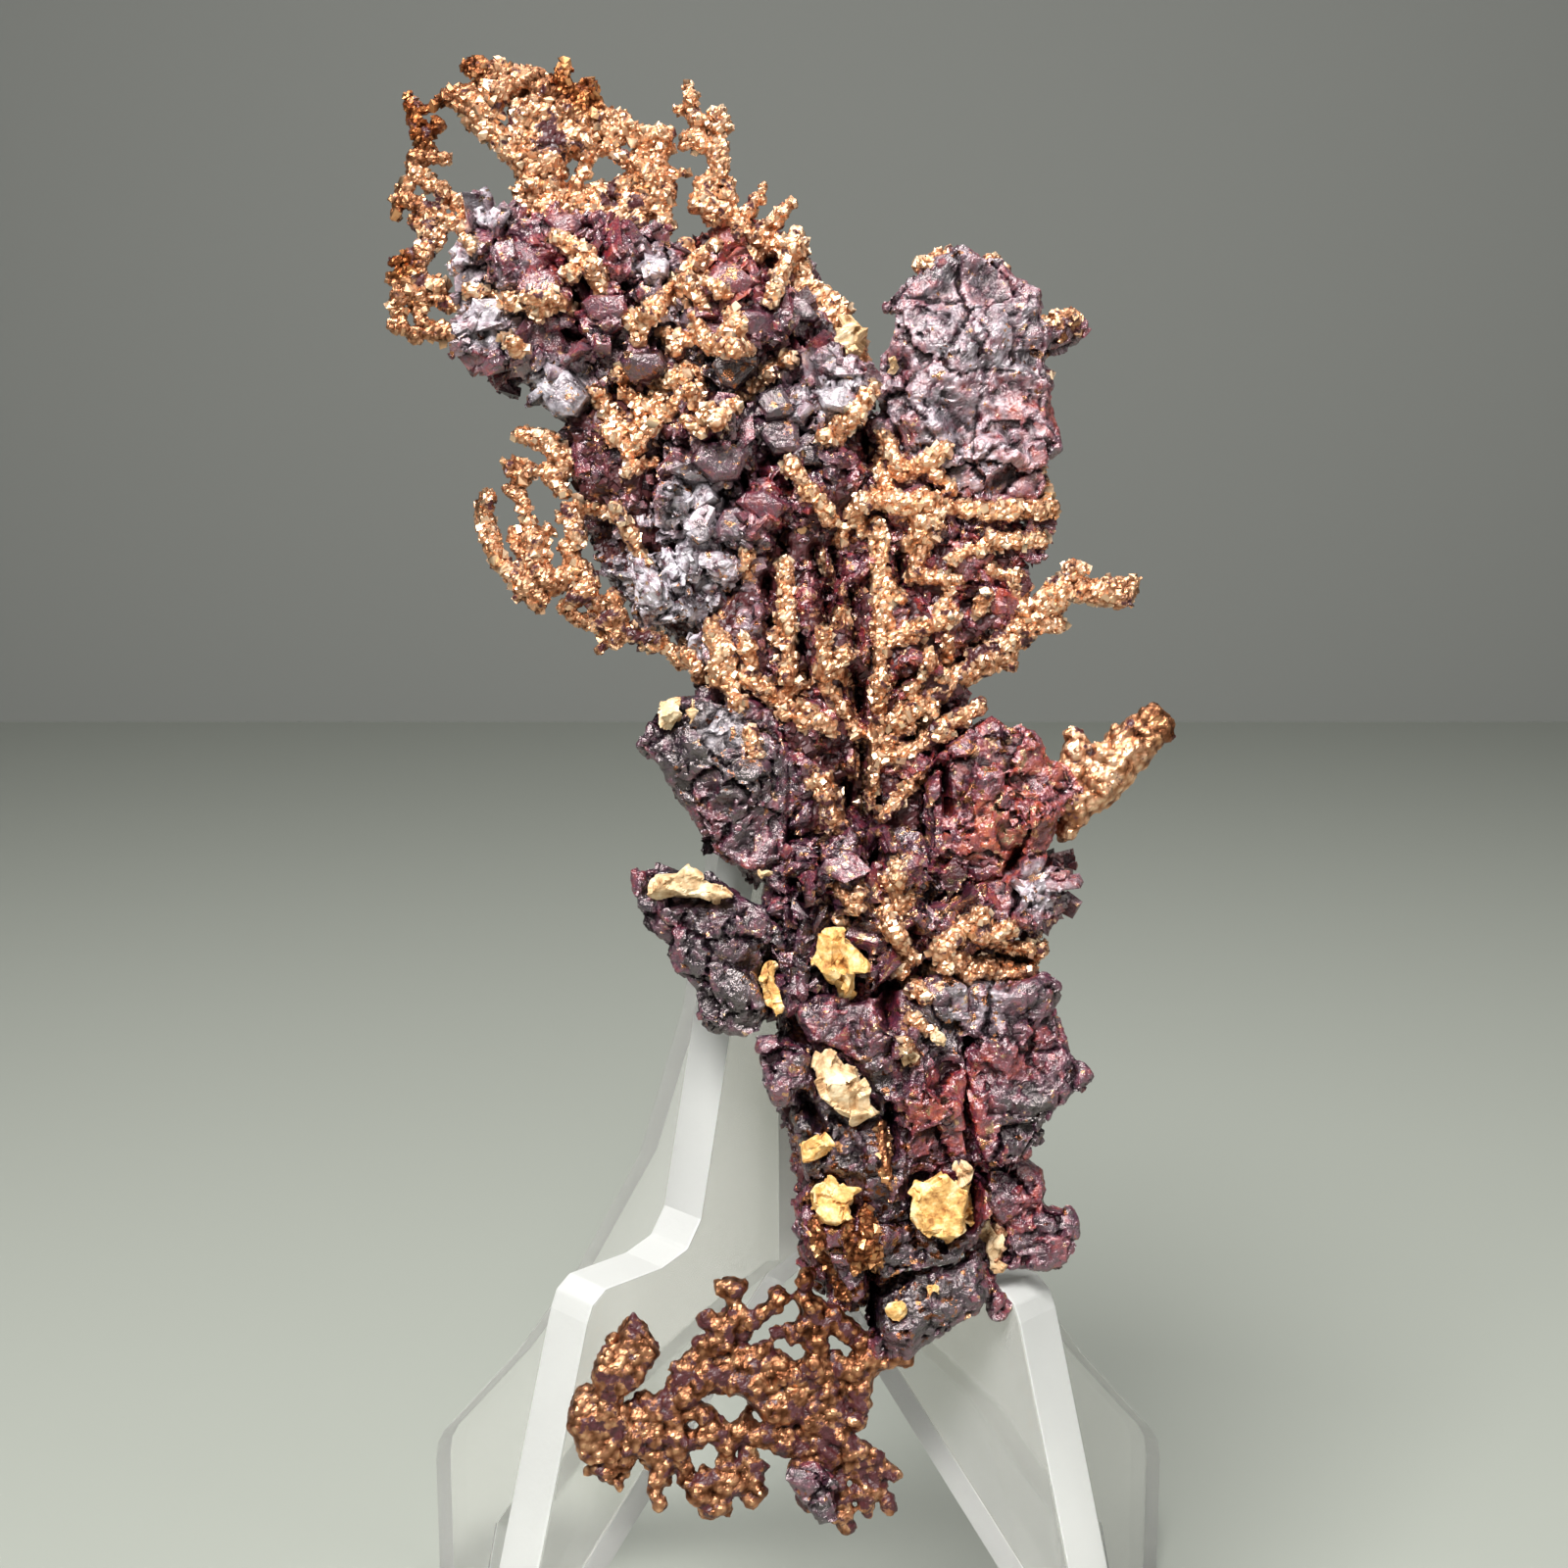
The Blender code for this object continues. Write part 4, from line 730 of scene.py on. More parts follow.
def zoned(u, v, zones, base):
    """A value at every place: each zone's value near its middle, and the base far from all of them."""
    total = np.full(len(u), BASE_SHARE * base)
    weight = np.full(len(u), BASE_SHARE)
    for zone_u, zone_v, radius, value in zones:
        share = np.exp(-((u - zone_u) ** 2 + (v - zone_v) ** 2) / radius ** 2)
        total += share * value
        weight += share
    return total / weight


# Narrow gaps in the front, as seen: (from u, v, to u, v, radius, depth)
PITS = [
    (880, 760, 884, 900, 5, 70), (864, 800, 866, 822, 8, 60), (844, 600, 846, 632, 8, 70),
    (587, 296, 586, 318, 4, 40), (872, 690, 880, 730, 6, 60), (832, 560, 838, 600, 5, 50),
    (868, 600, 874, 660, 5, 50), (820, 650, 826, 690, 5, 50), (782, 590, 786, 640, 4, 40),
    (806, 440, 780, 478, 4, 40), (830, 420, 812, 446, 3, 30), (757, 480, 764, 506, 3, 30),
    (727, 500, 745, 520, 3, 30), (660, 560, 690, 610, 4, 40), (850, 560, 856, 590, 5, 50),
    (912, 700, 940, 684, 4, 40), (916, 560, 922, 600, 4, 40), (940, 800, 960, 780, 4, 40),
    (890, 860, 893, 880, 6, 50), (905, 1000, 908, 1040, 6, 50), (994, 973, 1049, 980, 5, 60),
    (818, 1120, 836, 1150, 5, 40), (908, 1130, 912, 1180, 4, 40), (1000, 1200, 990, 1250, 5, 50),
    (890, 1300, 892, 1360, 5, 50), (810, 900, 826, 930, 6, 50), (838, 920, 850, 930, 5, 40),
    (1040, 870, 1030, 890, 5, 40), (962, 780, 968, 830, 3, 30), (640, 390, 660, 400, 4, 40),
    (690, 300, 700, 330, 4, 40), (752, 1432, 768, 1448, 7, 26), (655, 640, 680, 620, 4, 30),
    (790, 540, 800, 560, 5, 40), (884, 440, 886, 470, 5, 60)]

REAR = 60  # the rear of the piece is about this many units behind the board
DEEPEST = 0.8  # a gap reaches no further than this share of the way to the rear


def sink_pits(item):
    """Push the front of a piece back along the gaps, short of its rear."""
    points = points_of(item.data)
    u, v, front = as_seen(points)
    push = np.zeros(len(u))
    for u1, v1, u2, v2, radius, deep in PITS:
        length = math.hypot(u2 - u1, v2 - v1)
        along = np.clip(((u - u1) * (u2 - u1) + (v - v1) * (v2 - v1)) / length ** 2, 0, 1)
        away = np.hypot(u - u1 - along * (u2 - u1), v - v1 - along * (v2 - v1))
        push = np.maximum(push, deep * np.exp(-(away / radius) ** 2))
    push = np.minimum(push, np.maximum(0.0, (front + REAR) * DEEPEST))
    set_points(item.data, points - np.outer(push * UNIT, np.array(OUT)))


def paint(item, **fields):
    """Store a value a point for each field, from its zones and its base. A crystal takes its home's value."""
    mesh = item.data
    points = points_of(mesh)
    if "home" in mesh.attributes:
        homes = np.empty(len(mesh.vertices) * 3, np.float32)
        mesh.attributes["home"].data.foreach_get("vector", homes)
        homes = homes.reshape(-1, 3)
        points = np.where(np.abs(homes).sum(axis=1, keepdims=True) > 0, homes, points)
        mesh.attributes.remove(mesh.attributes["home"])
    u, v, _ = as_seen(points)
    for name, (zones, base) in fields.items():
        layer = mesh.attributes.new(name, "FLOAT", "POINT")
        layer.data.foreach_set("value", zoned(u, v, zones, base).astype(np.float32))


# ---------------------------------------------------------------- copper limbs, as seen

# Chains of grains: (u, v, radius)
CROWN = [
    [(479, 68, 7), (488, 71, 8), (506, 73, 8), (523, 75, 8), (540, 78, 9), (550, 74, 5)],
    [(575, 63, 4), (576, 72, 7), (574, 83, 10), (566, 96, 13), (558, 112, 13), (552, 130, 13),
     (550, 148, 14)],
    [(597, 83, 4), (599, 92, 8), (599, 104, 12), (592, 120, 13), (582, 138, 12), (572, 152, 12),
     (560, 163, 13)],
    [(556, 94, 9), (547, 104, 10), (542, 116, 10), (543, 130, 10), (546, 142, 10)],
    [(584, 98, 9), (580, 112, 11), (573, 126, 11), (565, 140, 11)],
    [(486, 68, 8), (496, 80, 11), (501, 96, 12), (500, 112, 11)],
    [(515, 84, 11), (530, 84, 10), (545, 84, 11), (560, 88, 10)],
    [(474, 93, 7), (472, 105, 9), (484, 118, 11), (496, 132, 11), (510, 140, 11), (520, 152, 11),
     (530, 163, 11), (540, 176, 12)],
    [(482, 103, 11), (500, 100, 12), (512, 96, 10)],
    [(528, 96, 9), (530, 108, 9), (531, 122, 10), (536, 134, 11), (543, 146, 12)],
    [(545, 154, 13), (547, 172, 13), (546, 190, 13), (546, 206, 13), (553, 216, 12)],
    [(559, 161, 13), (566, 176, 11), (564, 192, 12), (566, 208, 12), (580, 214, 10)],
    [(536, 196, 9), (534, 207, 9), (538, 218, 9)], [(598, 144, 11), (590, 150, 9), (576, 156, 8)],
    [(598, 144, 10), (600, 160, 9), (596, 174, 8), (588, 188, 7), (582, 200, 8), (590, 208, 9)],
    [(600, 146, 9), (612, 149, 9), (624, 152, 8), (637, 161, 8), (650, 170, 9)],
    [(613, 119, 7), (622, 118, 7), (634, 121, 7), (640, 128, 7)],
    [(613, 119, 6), (608, 130, 7), (600, 140, 9)],
    [(622, 134, 8), (634, 136, 8), (646, 137, 9), (662, 138, 8), (678, 137, 9), (679, 152, 8),
     (672, 166, 9)],
    [(612, 126, 7), (620, 134, 8), (612, 145, 8)],
    [(656, 146, 8), (656, 160, 8), (656, 174, 9), (664, 186, 10), (668, 200, 9), (672, 214, 9),
     (678, 232, 8)],
    [(672, 180, 9), (684, 180, 6), (698, 176, 4)], [(672, 186, 8), (680, 196, 7), (676, 210, 8)],
    [(590, 205, 9), (602, 200, 8), (612, 197, 8), (624, 196, 8), (636, 190, 8), (638, 204, 9),
     (634, 216, 9)],
    [(654, 196, 9), (654, 208, 9), (648, 220, 9), (655, 228, 8)],
    [(598, 218, 10), (614, 214, 10), (626, 222, 9), (638, 228, 9)],
    [(570, 220, 9), (586, 226, 9), (600, 232, 8)]]

THIN_ARM = [
    [(467, 101, 6), (457, 98, 7), (445, 105, 5), (433, 112, 5), (421, 110, 7), (418, 98, 4)],
    [(421, 112, 7), (424, 125, 8), (428, 137, 8), (432, 149, 8), (425, 164, 9), (423, 180, 8),
     (414, 192, 8), (405, 205, 6), (404, 218, 5)],
    [(430, 134, 6), (445, 131, 6)], [(432, 160, 8), (443, 160, 7), (455, 161, 6)],
    [(428, 176, 9), (438, 188, 9), (452, 195, 8), (465, 205, 8), (478, 214, 7)],
    [(416, 205, 8), (428, 210, 8), (443, 219, 9), (455, 226, 9), (467, 229, 8)],
    [(424, 228, 7), (436, 234, 9), (448, 243, 9), (434, 257, 9), (428, 272, 8)],
    [(404, 266, 5), (416, 263, 8), (428, 258, 8)],
    [(403, 284, 7), (416, 285, 10), (433, 287, 10), (448, 292, 9)],
    [(408, 302, 9), (428, 302, 10), (448, 305, 9), (466, 309, 7)],
    [(406, 318, 8), (409, 333, 8), (423, 342, 8), (436, 338, 7), (448, 340, 8), (462, 338, 9),
     (474, 340, 7)],
    [(428, 316, 7), (430, 328, 7)]]

SECOND_BRANCH = [
    [(703, 91, 6), (705, 99, 8), (704, 110, 8), (712, 125, 8), (712, 138, 8), (720, 148, 9),
     (732, 158, 9), (734, 172, 10), (726, 186, 11), (724, 202, 12), (726, 216, 12)],
    [(692, 113, 5), (700, 110, 7)], [(697, 149, 5), (704, 142, 8), (714, 142, 8)],
    [(734, 116, 6), (738, 125, 8), (733, 136, 8), (735, 150, 8)], [(714, 190, 8), (708, 208, 7)],
    [(742, 186, 7), (744, 200, 8), (740, 214, 9)],
    [(779, 190, 5), (773, 202, 7), (764, 216, 8), (752, 228, 9)],
    [(808, 206, 5), (800, 216, 8), (790, 228, 8), (778, 238, 9)],
    [(818, 246, 6), (814, 258, 9), (808, 274, 9), (800, 290, 9), (794, 302, 8)],
    [(740, 218, 10), (756, 236, 9), (776, 244, 9), (796, 250, 8), (810, 256, 8)]]

LEFT_ARMS = [
    [(497, 508, 8), (494, 520, 9), (495, 532, 9), (499, 546, 8), (503, 560, 9), (510, 575, 9),
     (522, 586, 10), (536, 598, 13), (546, 610, 10), (548, 618, 6)],
    [(518, 500, 7), (530, 507, 7), (535, 520, 6), (540, 533, 6), (544, 548, 12), (543, 562, 14),
     (546, 578, 14), (556, 592, 13)],
    [(524, 543, 6), (530, 556, 9)], [(559, 540, 5), (552, 550, 8)],
    [(521, 478, 8), (532, 484, 9), (540, 480, 8), (550, 482, 4), (560, 484, 9)],
    [(532, 444, 8), (546, 446, 9), (560, 452, 11), (570, 464, 11), (574, 478, 11), (566, 490, 9),
     (572, 500, 8)],
    [(572, 528, 6), (584, 530, 7), (592, 519, 7), (604, 518, 7), (616, 520, 8)],
    [(588, 534, 8), (588, 548, 8), (576, 558, 7), (584, 568, 8), (592, 580, 9), (578, 588, 10),
     (566, 596, 11), (552, 600, 10)],
    [(596, 588, 10), (600, 602, 11), (590, 610, 9), (574, 620, 6)],
    [(600, 606, 10), (612, 618, 10), (626, 614, 9)],
    [(584, 628, 6), (600, 635, 9), (616, 636, 11), (628, 634, 11), (626, 650, 9), (612, 663, 6)],
    [(628, 646, 9), (646, 647, 8), (660, 650, 7), (672, 654, 7), (684, 663, 8), (694, 675, 7),
     (706, 676, 7), (717, 672, 9), (726, 664, 10), (726, 684, 9)],
    [(628, 520, 6), (636, 532, 7), (643, 546, 7), (650, 560, 7), (659, 572, 7)]]

FOOT_CHAINS = [
    [(647, 1355, 8), (656, 1366, 8), (663, 1378, 8), (656, 1390, 8), (647, 1401, 8)],
    [(648, 1366, 8), (646, 1380, 8), (648, 1394, 8)],
    [(626, 1374, 8), (626, 1390, 10), (622, 1404, 8), (620, 1418, 6), (622, 1432, 8), (632, 1446, 12)],
    [(636, 1386, 6), (628, 1396, 8)],
    [(599, 1421, 8), (597, 1436, 8), (595, 1452, 8), (606, 1464, 11), (609, 1478, 9)],
    [(606, 1444, 9), (620, 1452, 12), (636, 1458, 13), (650, 1462, 12), (668, 1466, 12)],
    [(640, 1438, 9), (656, 1430, 6), (658, 1424, 5)],
    [(606, 1498, 7), (620, 1498, 10), (636, 1494, 10), (640, 1480, 10)],
    [(622, 1504, 7), (632, 1516, 6)],
    [(656, 1448, 12), (668, 1440, 12), (684, 1430, 12), (692, 1414, 12), (702, 1400, 12),
     (714, 1386, 12), (730, 1372, 13), (742, 1358, 12), (750, 1342, 10), (748, 1326, 9), (746, 1314, 10),
     (736, 1314, 7)],
    [(754, 1316, 8), (760, 1310, 5)], [(691, 1394, 6), (700, 1400, 9)], [(713, 1370, 7), (722, 1374, 9)],
    [(722, 1347, 9), (732, 1352, 10)],
    [(793, 1321, 8), (801, 1324, 6), (790, 1332, 8), (779, 1338, 8), (768, 1348, 9), (756, 1356, 10)],
    [(650, 1476, 10), (666, 1484, 11), (676, 1496, 12), (672, 1510, 8), (668, 1522, 7), (674, 1535, 7)],
    [(686, 1466, 11), (700, 1470, 10), (716, 1466, 10), (732, 1460, 11)],
    [(690, 1480, 9), (698, 1496, 9), (702, 1510, 10), (714, 1522, 11), (726, 1536, 12), (736, 1536, 9),
     (738, 1520, 9), (744, 1506, 8), (742, 1490, 8), (740, 1476, 9)],
    [(720, 1512, 9), (732, 1512, 9)], [(748, 1500, 8), (756, 1514, 10), (768, 1526, 10), (778, 1522, 7)],
    [(764, 1484, 9), (768, 1498, 8), (776, 1496, 6)], [(762, 1508, 8), (774, 1508, 7)],
    [(734, 1460, 11), (756, 1462, 13), (778, 1465, 13), (800, 1470, 13), (816, 1475, 11)],
    [(744, 1398, 12), (760, 1394, 13), (778, 1392, 13), (796, 1396, 13), (812, 1402, 13), (828, 1410, 14)],
    [(754, 1414, 13), (772, 1414, 16), (792, 1418, 16), (812, 1424, 15), (830, 1430, 14)],
    [(776, 1432, 12), (792, 1440, 12), (806, 1442, 11), (826, 1448, 12), (842, 1456, 12)],
    [(700, 1424, 12), (712, 1412, 13), (724, 1402, 13), (736, 1412, 10)],
    [(690, 1446, 12), (704, 1438, 12), (720, 1444, 10)],
    [(780, 1376, 8), (770, 1384, 9), (756, 1382, 9)],
    [(793, 1360, 6), (804, 1357, 7), (816, 1358, 9), (826, 1350, 12), (830, 1336, 11), (820, 1322, 9),
     (822, 1304, 9)],
    [(836, 1352, 13), (834, 1372, 13), (832, 1390, 12), (838, 1404, 12), (846, 1420, 12), (852, 1438, 12)],
    [(848, 1346, 13), (864, 1356, 12), (878, 1368, 10), (884, 1384, 11), (880, 1400, 12),
     (876, 1416, 12), (878, 1432, 10), (872, 1450, 9)],
    [(848, 1392, 10), (860, 1396, 10), (872, 1398, 10)],
    [(886, 1386, 11), (900, 1388, 10), (914, 1384, 9), (926, 1388, 6)],
    [(846, 1446, 12), (852, 1462, 12), (866, 1474, 11), (880, 1480, 9), (892, 1487, 8), (902, 1500, 7),
     (914, 1504, 6)],
    [(884, 1490, 9), (892, 1504, 9), (894, 1518, 8), (906, 1530, 7), (909, 1538, 6)],
    [(868, 1484, 10), (874, 1500, 10), (880, 1518, 9), (884, 1534, 8), (886, 1544, 6)],
    [(856, 1516, 8), (860, 1530, 9), (860, 1544, 9), (865, 1558, 8)],
    [(820, 1482, 10), (814, 1496, 8), (817, 1512, 8), (820, 1526, 8), (824, 1536, 6)],
    [(836, 1470, 12), (846, 1486, 10), (856, 1500, 9)]]

UPPER_RIGHT = [
    [(905, 742, 12), (924, 728, 13), (944, 712, 13), (964, 700, 12), (984, 688, 12), (1004, 674, 13),
     (1022, 660, 14), (1040, 646, 14), (1056, 630, 15), (1072, 614, 14), (1086, 598, 13), (1096, 582, 10)],
    [(1084, 604, 11), (1100, 602, 10), (1116, 604, 10), (1130, 604, 13), (1142, 606, 14), (1150, 600, 12)],
    [(1040, 640, 11), (1044, 622, 10), (1038, 604, 10), (1037, 592, 8)],
    [(1026, 668, 9), (1032, 678, 7)], [(1066, 636, 9), (1078, 638, 8)]]

LOWER_RIGHT = [
    [(1088, 848, 9), (1098, 830, 13), (1110, 812, 16), (1124, 796, 17), (1140, 780, 17), (1156, 766, 17),
     (1172, 752, 16), (1180, 742, 14), (1176, 732, 10)],
    [(1098, 776, 13), (1110, 784, 14), (1126, 772, 14), (1144, 758, 14), (1160, 744, 14)],
    [(1097, 752, 8), (1100, 766, 11)], [(1092, 796, 14), (1094, 816, 14)]]

LOBE_NUBS = [
    [(1050, 344, 14), (1066, 338, 13), (1080, 334, 15), (1092, 328, 11)],
    [(1054, 384, 9), (1064, 386, 8)], [(1052, 452, 11), (1062, 446, 10), (1068, 456, 8)],
    [(944, 276, 8), (958, 266, 9), (970, 262, 7)], [(1014, 268, 7), (1026, 276, 6)],
    [(1062, 500, 9), (1068, 512, 8)], [(1052, 476, 8), (1060, 486, 7)]]

CENTRE = [
    [(895, 744, 9), (886, 760, 10), (876, 776, 9), (872, 786, 7)],
    [(892, 776, 9), (888, 800, 10), (884, 820, 8)],
    [(948, 788, 9), (930, 800, 9), (914, 818, 9), (902, 832, 7)],
    [(998, 722, 9), (980, 732, 9), (962, 744, 9), (944, 756, 9), (926, 766, 8), (910, 772, 7)],
    [(830, 782, 10), (838, 796, 13), (846, 812, 12), (850, 830, 11), (858, 846, 8)],
    [(904, 760, 8), (914, 748, 8), (922, 740, 8)]]

# Loose twigs on the front: (from u, v, to u, v, radius)
TWIGS = [
    (659, 325, 710, 267, 8), (696, 344, 732, 348, 8), (737, 354, 764, 358, 8), (645, 407, 696, 385, 9),
    (671, 429, 703, 397, 8), (642, 465, 669, 429, 8), (713, 374, 716, 396, 6), (708, 407, 732, 431, 8),
    (732, 431, 773, 390, 8), (773, 390, 802, 365, 8), (810, 477, 848, 530, 9), (841, 448, 868, 424, 8),
    (868, 424, 890, 397, 8), (890, 465, 903, 494, 8), (903, 446, 920, 482, 8), (926, 482, 965, 458, 8),
    (894, 507, 950, 516, 8), (950, 516, 1000, 520, 8), (931, 587, 953, 531, 9), (931, 587, 977, 592, 8),
    (896, 534, 898, 640, 9), (898, 640, 897, 722, 9), (800, 567, 803, 640, 9), (803, 640, 806, 715, 8),
    (762, 566, 762, 586, 7), (907, 655, 970, 630, 9), (960, 623, 970, 604, 7), (999, 623, 1006, 604, 7),
    (963, 690, 968, 652, 7), (784, 642, 805, 662, 6), (839, 630, 876, 645, 7), (820, 696, 871, 662, 8),
    (740, 652, 748, 698, 8), (764, 748, 771, 770, 7), (917, 882, 919, 923, 9), (902, 933, 926, 976, 10),
    (962, 967, 999, 935, 11), (919, 991, 943, 1018, 10), (955, 991, 986, 976, 8),
    (902, 896, 926, 918, 8), (627, 519, 643, 546, 7), (643, 546, 660, 573, 7), (572, 247, 596, 262, 7),
    (596, 262, 611, 281, 7), (700, 290, 716, 308, 7), (640, 322, 650, 338, 7), (614, 275, 616, 296, 6),
    (515, 305, 550, 316, 8), (535, 302, 552, 306, 7), (478, 296, 500, 300, 6), (520, 346, 528, 356, 7),
    (742, 300, 720, 288, 6), (1000, 955, 1030, 948, 9), (1018, 975, 1050, 968, 10),
    (985, 995, 1010, 985, 9), (880, 900, 872, 926, 6), (855, 905, 866, 920, 6), (850, 930, 862, 946, 6),
    (930, 1040, 950, 1052, 7), (925, 1066, 932, 1082, 7), (884, 1240, 892, 1300, 8),
    (866, 1250, 876, 1290, 8), (900, 1150, 906, 1200, 6), (1020, 1256, 1014, 1282, 6),
    (832, 1250, 840, 1280, 8), (850, 1290, 862, 1316, 9), (908, 642, 900, 610, 6),
    (920, 610, 906, 590, 6), (660, 320, 713, 281, 9), (660, 322, 653, 347, 8), (633, 380, 660, 427, 8),
    (607, 400, 640, 447, 8), (640, 447, 673, 407, 8), (673, 400, 700, 373, 7), (727, 353, 753, 333, 9),
    (740, 340, 760, 354, 7), (747, 320, 753, 340, 7), (700, 313, 713, 333, 7), (567, 240, 600, 260, 8),
    (600, 260, 580, 280, 8), (603, 273, 613, 300, 7), (513, 307, 560, 313, 8), (787, 307, 813, 240, 9),
    (853, 447, 880, 413, 9), (880, 513, 947, 513, 9), (580, 520, 587, 553, 7), (920, 567, 953, 513, 9),
    (727, 640, 733, 693, 9), (840, 647, 873, 607, 8), (700, 660, 716, 690, 8), (740, 690, 752, 716, 8),
    (760, 650, 770, 690, 7), (870, 740, 880, 760, 8), (915, 735, 940, 720, 9), (640, 480, 668, 470, 7),
    (620, 440, 640, 456, 8), (560, 300, 580, 312, 6), (480, 250, 470, 236, 6), (700, 250, 712, 236, 8),
    (770, 262, 790, 250, 8), (716, 262, 730, 250, 7), (930, 275, 946, 268, 7), (680, 340, 690, 356, 7),
    (716, 440, 700, 430, 7), (1000, 560, 1020, 556, 7), (1010, 580, 1034, 590, 7),
    (975, 570, 990, 560, 6), (850, 590, 862, 612, 7), (868, 610, 852, 640, 7), (838, 660, 846, 690, 7),
    (858, 686, 874, 716, 7), (900, 700, 930, 690, 6), (930, 700, 950, 672, 7), (950, 724, 940, 740, 7),
    (760, 690, 790, 716, 7), (784, 700, 800, 730, 7), (820, 720, 846, 742, 7), (842, 700, 866, 730, 7),
    (820, 740, 806, 720, 6), (880, 540, 870, 520, 7), (862, 540, 850, 560, 6), (836, 560, 846, 580, 6),
    (920, 520, 906, 500, 7), (944, 500, 930, 520, 7), (970, 500, 956, 484, 7), (1044, 520, 1072, 518, 9),
    (1010, 522, 1044, 518, 9), (1010, 550, 1060, 552, 8)]

LIMB_NECK = 0.72  # a bar's thickness between two grains, as a share of theirs
TWIG_NECK = 0.62
LIMB_SCATTER = 0.35  # how far a grain's depth strays, as a share of the limb's thickness
TWIG_STEP = 1.1  # from grain to grain of a twig, in grain radii
TWIG_WAVER = 1.2  # how far a twig's grain strays, in units
TWIG_RISE = 0.45  # how far a twig's grain stands out of the surface, in grain radii
TWIG_REACH = 4  # a twig breaks where the surface falls away by more than this many grain radii


def ball(bm, where, radius, rng):
    """A slightly lopsided grain."""
    lopsided = Matrix.Diagonal([radius * rng.uniform(0.85, 1.2) for _ in range(3)] + [1.0])
    angle = rng.uniform(0, math.tau)
    axis = Vector([rng.gauss(0, 1) for _ in range(3)]).normalized()
    place = Matrix.Translation(where) @ Matrix.Rotation(angle, 4, axis) @ lopsided
    bmesh.ops.create_icosphere(bm, subdivisions=2, radius=1.0, matrix=place)


def bar(bm, one, two, radius_one, radius_two):
    """A tapered bar between two places."""
    along = two - one
    place = Matrix.Translation((one + two) / 2) @ along.to_track_quat("Z", "Y").to_matrix().to_4x4()
    bmesh.ops.create_cone(bm, cap_ends=True, segments=8, radius1=radius_one, radius2=radius_two,
                          depth=along.length, matrix=place)


def limb_mesh(name, chains, depth, thickness, seed):
    """Chains of grains at about this depth, doubled towards the rear where a limb is thicker than a grain."""
    rng = random.Random(seed)
    bm = bmesh.new()
    for chain in chains:
        last = None
        for u, v, r in chain:
            w = depth + rng.uniform(-LIMB_SCATTER, LIMB_SCATTER) * thickness
            where = seen(u, v, w)
            ball(bm, where, r * UNIT * rng.uniform(0.95, 1.12), rng)
            if thickness > r:
                ball(bm, seen(u, v, w - r), r * UNIT * rng.uniform(0.8, 1.05), rng)
            if last:
                bar(bm, last[0], where, last[1] * UNIT * LIMB_NECK, r * UNIT * LIMB_NECK)
            last = (where, r)
    return to_mesh(bm, name)


def twig_mesh(name, twigs, stoutness, surface, seed):
    """Twigs of a few grains each, laid where they touch the surface as seen from the front."""
    rng = random.Random(seed)
    eye = board(HALF, HALF, EYE)
    bm = bmesh.new()
    for u1, v1, u2, v2, narrow in twigs:
        r = narrow * stoutness
        count = max(2, round(math.hypot(u2 - u1, v2 - v1) / (TWIG_STEP * r)))
        last = None
        for i in range(count + 1):
            u = u1 + (u2 - u1) * i / count + rng.uniform(-TWIG_WAVER, TWIG_WAVER)
            v = v1 + (v2 - v1) * i / count + rng.uniform(-TWIG_WAVER, TWIG_WAVER)
            ray = (seen(u, v) - eye).normalized()
            hit = surface.ray_cast(eye, ray)[0]
            if hit is None:
                last = None
                continue
            where = hit - ray * (TWIG_RISE * r * UNIT)
            if last and (where - last).length > TWIG_REACH * r * UNIT:
                last = None
            ball(bm, where, r * UNIT * rng.uniform(0.72, 1.0), rng)
            if last:
                bar(bm, last, where, r * UNIT * TWIG_NECK, r * UNIT * TWIG_NECK)
            last = where
    return to_mesh(bm, name)


LARGEST_PLATE = 30
PLATED_RIGHT, PLATED_DOWN = 870, 600  # the plates lie on the head, which ends here
PLATE_RINGS = ((-0.45, 1.1), (0.02, 1.0), (0.2, 0.72))  # each ring's height and width, as shares of its size
PLATE_FOLLOWS = 0.35  # how far a plate lies with the surface, against 1 for facing out
PLATE_LEAN = 0.3
PLATE_HOLLOW = 0.3


def broken_plate(size, rng):
    """A lopsided six-sided plate with a bevelled top, lying flat."""
    part = bmesh.new()
    outline = [(i + rng.uniform(-0.42, 0.42)) * math.tau / 6 for i in range(6)]
    reaches = [size * rng.uniform(0.75, 1.15) for _ in outline]
    narrow = rng.uniform(0.6, 0.95)
    for level, share in PLATE_RINGS:
        for angle, reach in zip(outline, reaches):
            part.verts.new((share * reach * math.cos(angle), share * reach * narrow * math.sin(angle),
                            (level + rng.uniform(-0.07, 0.07)) * size))
    bmesh.ops.convex_hull(part, input=part.verts)
    for loose in [corner for corner in part.verts if not corner.link_faces]:
        part.verts.remove(loose)
    return part


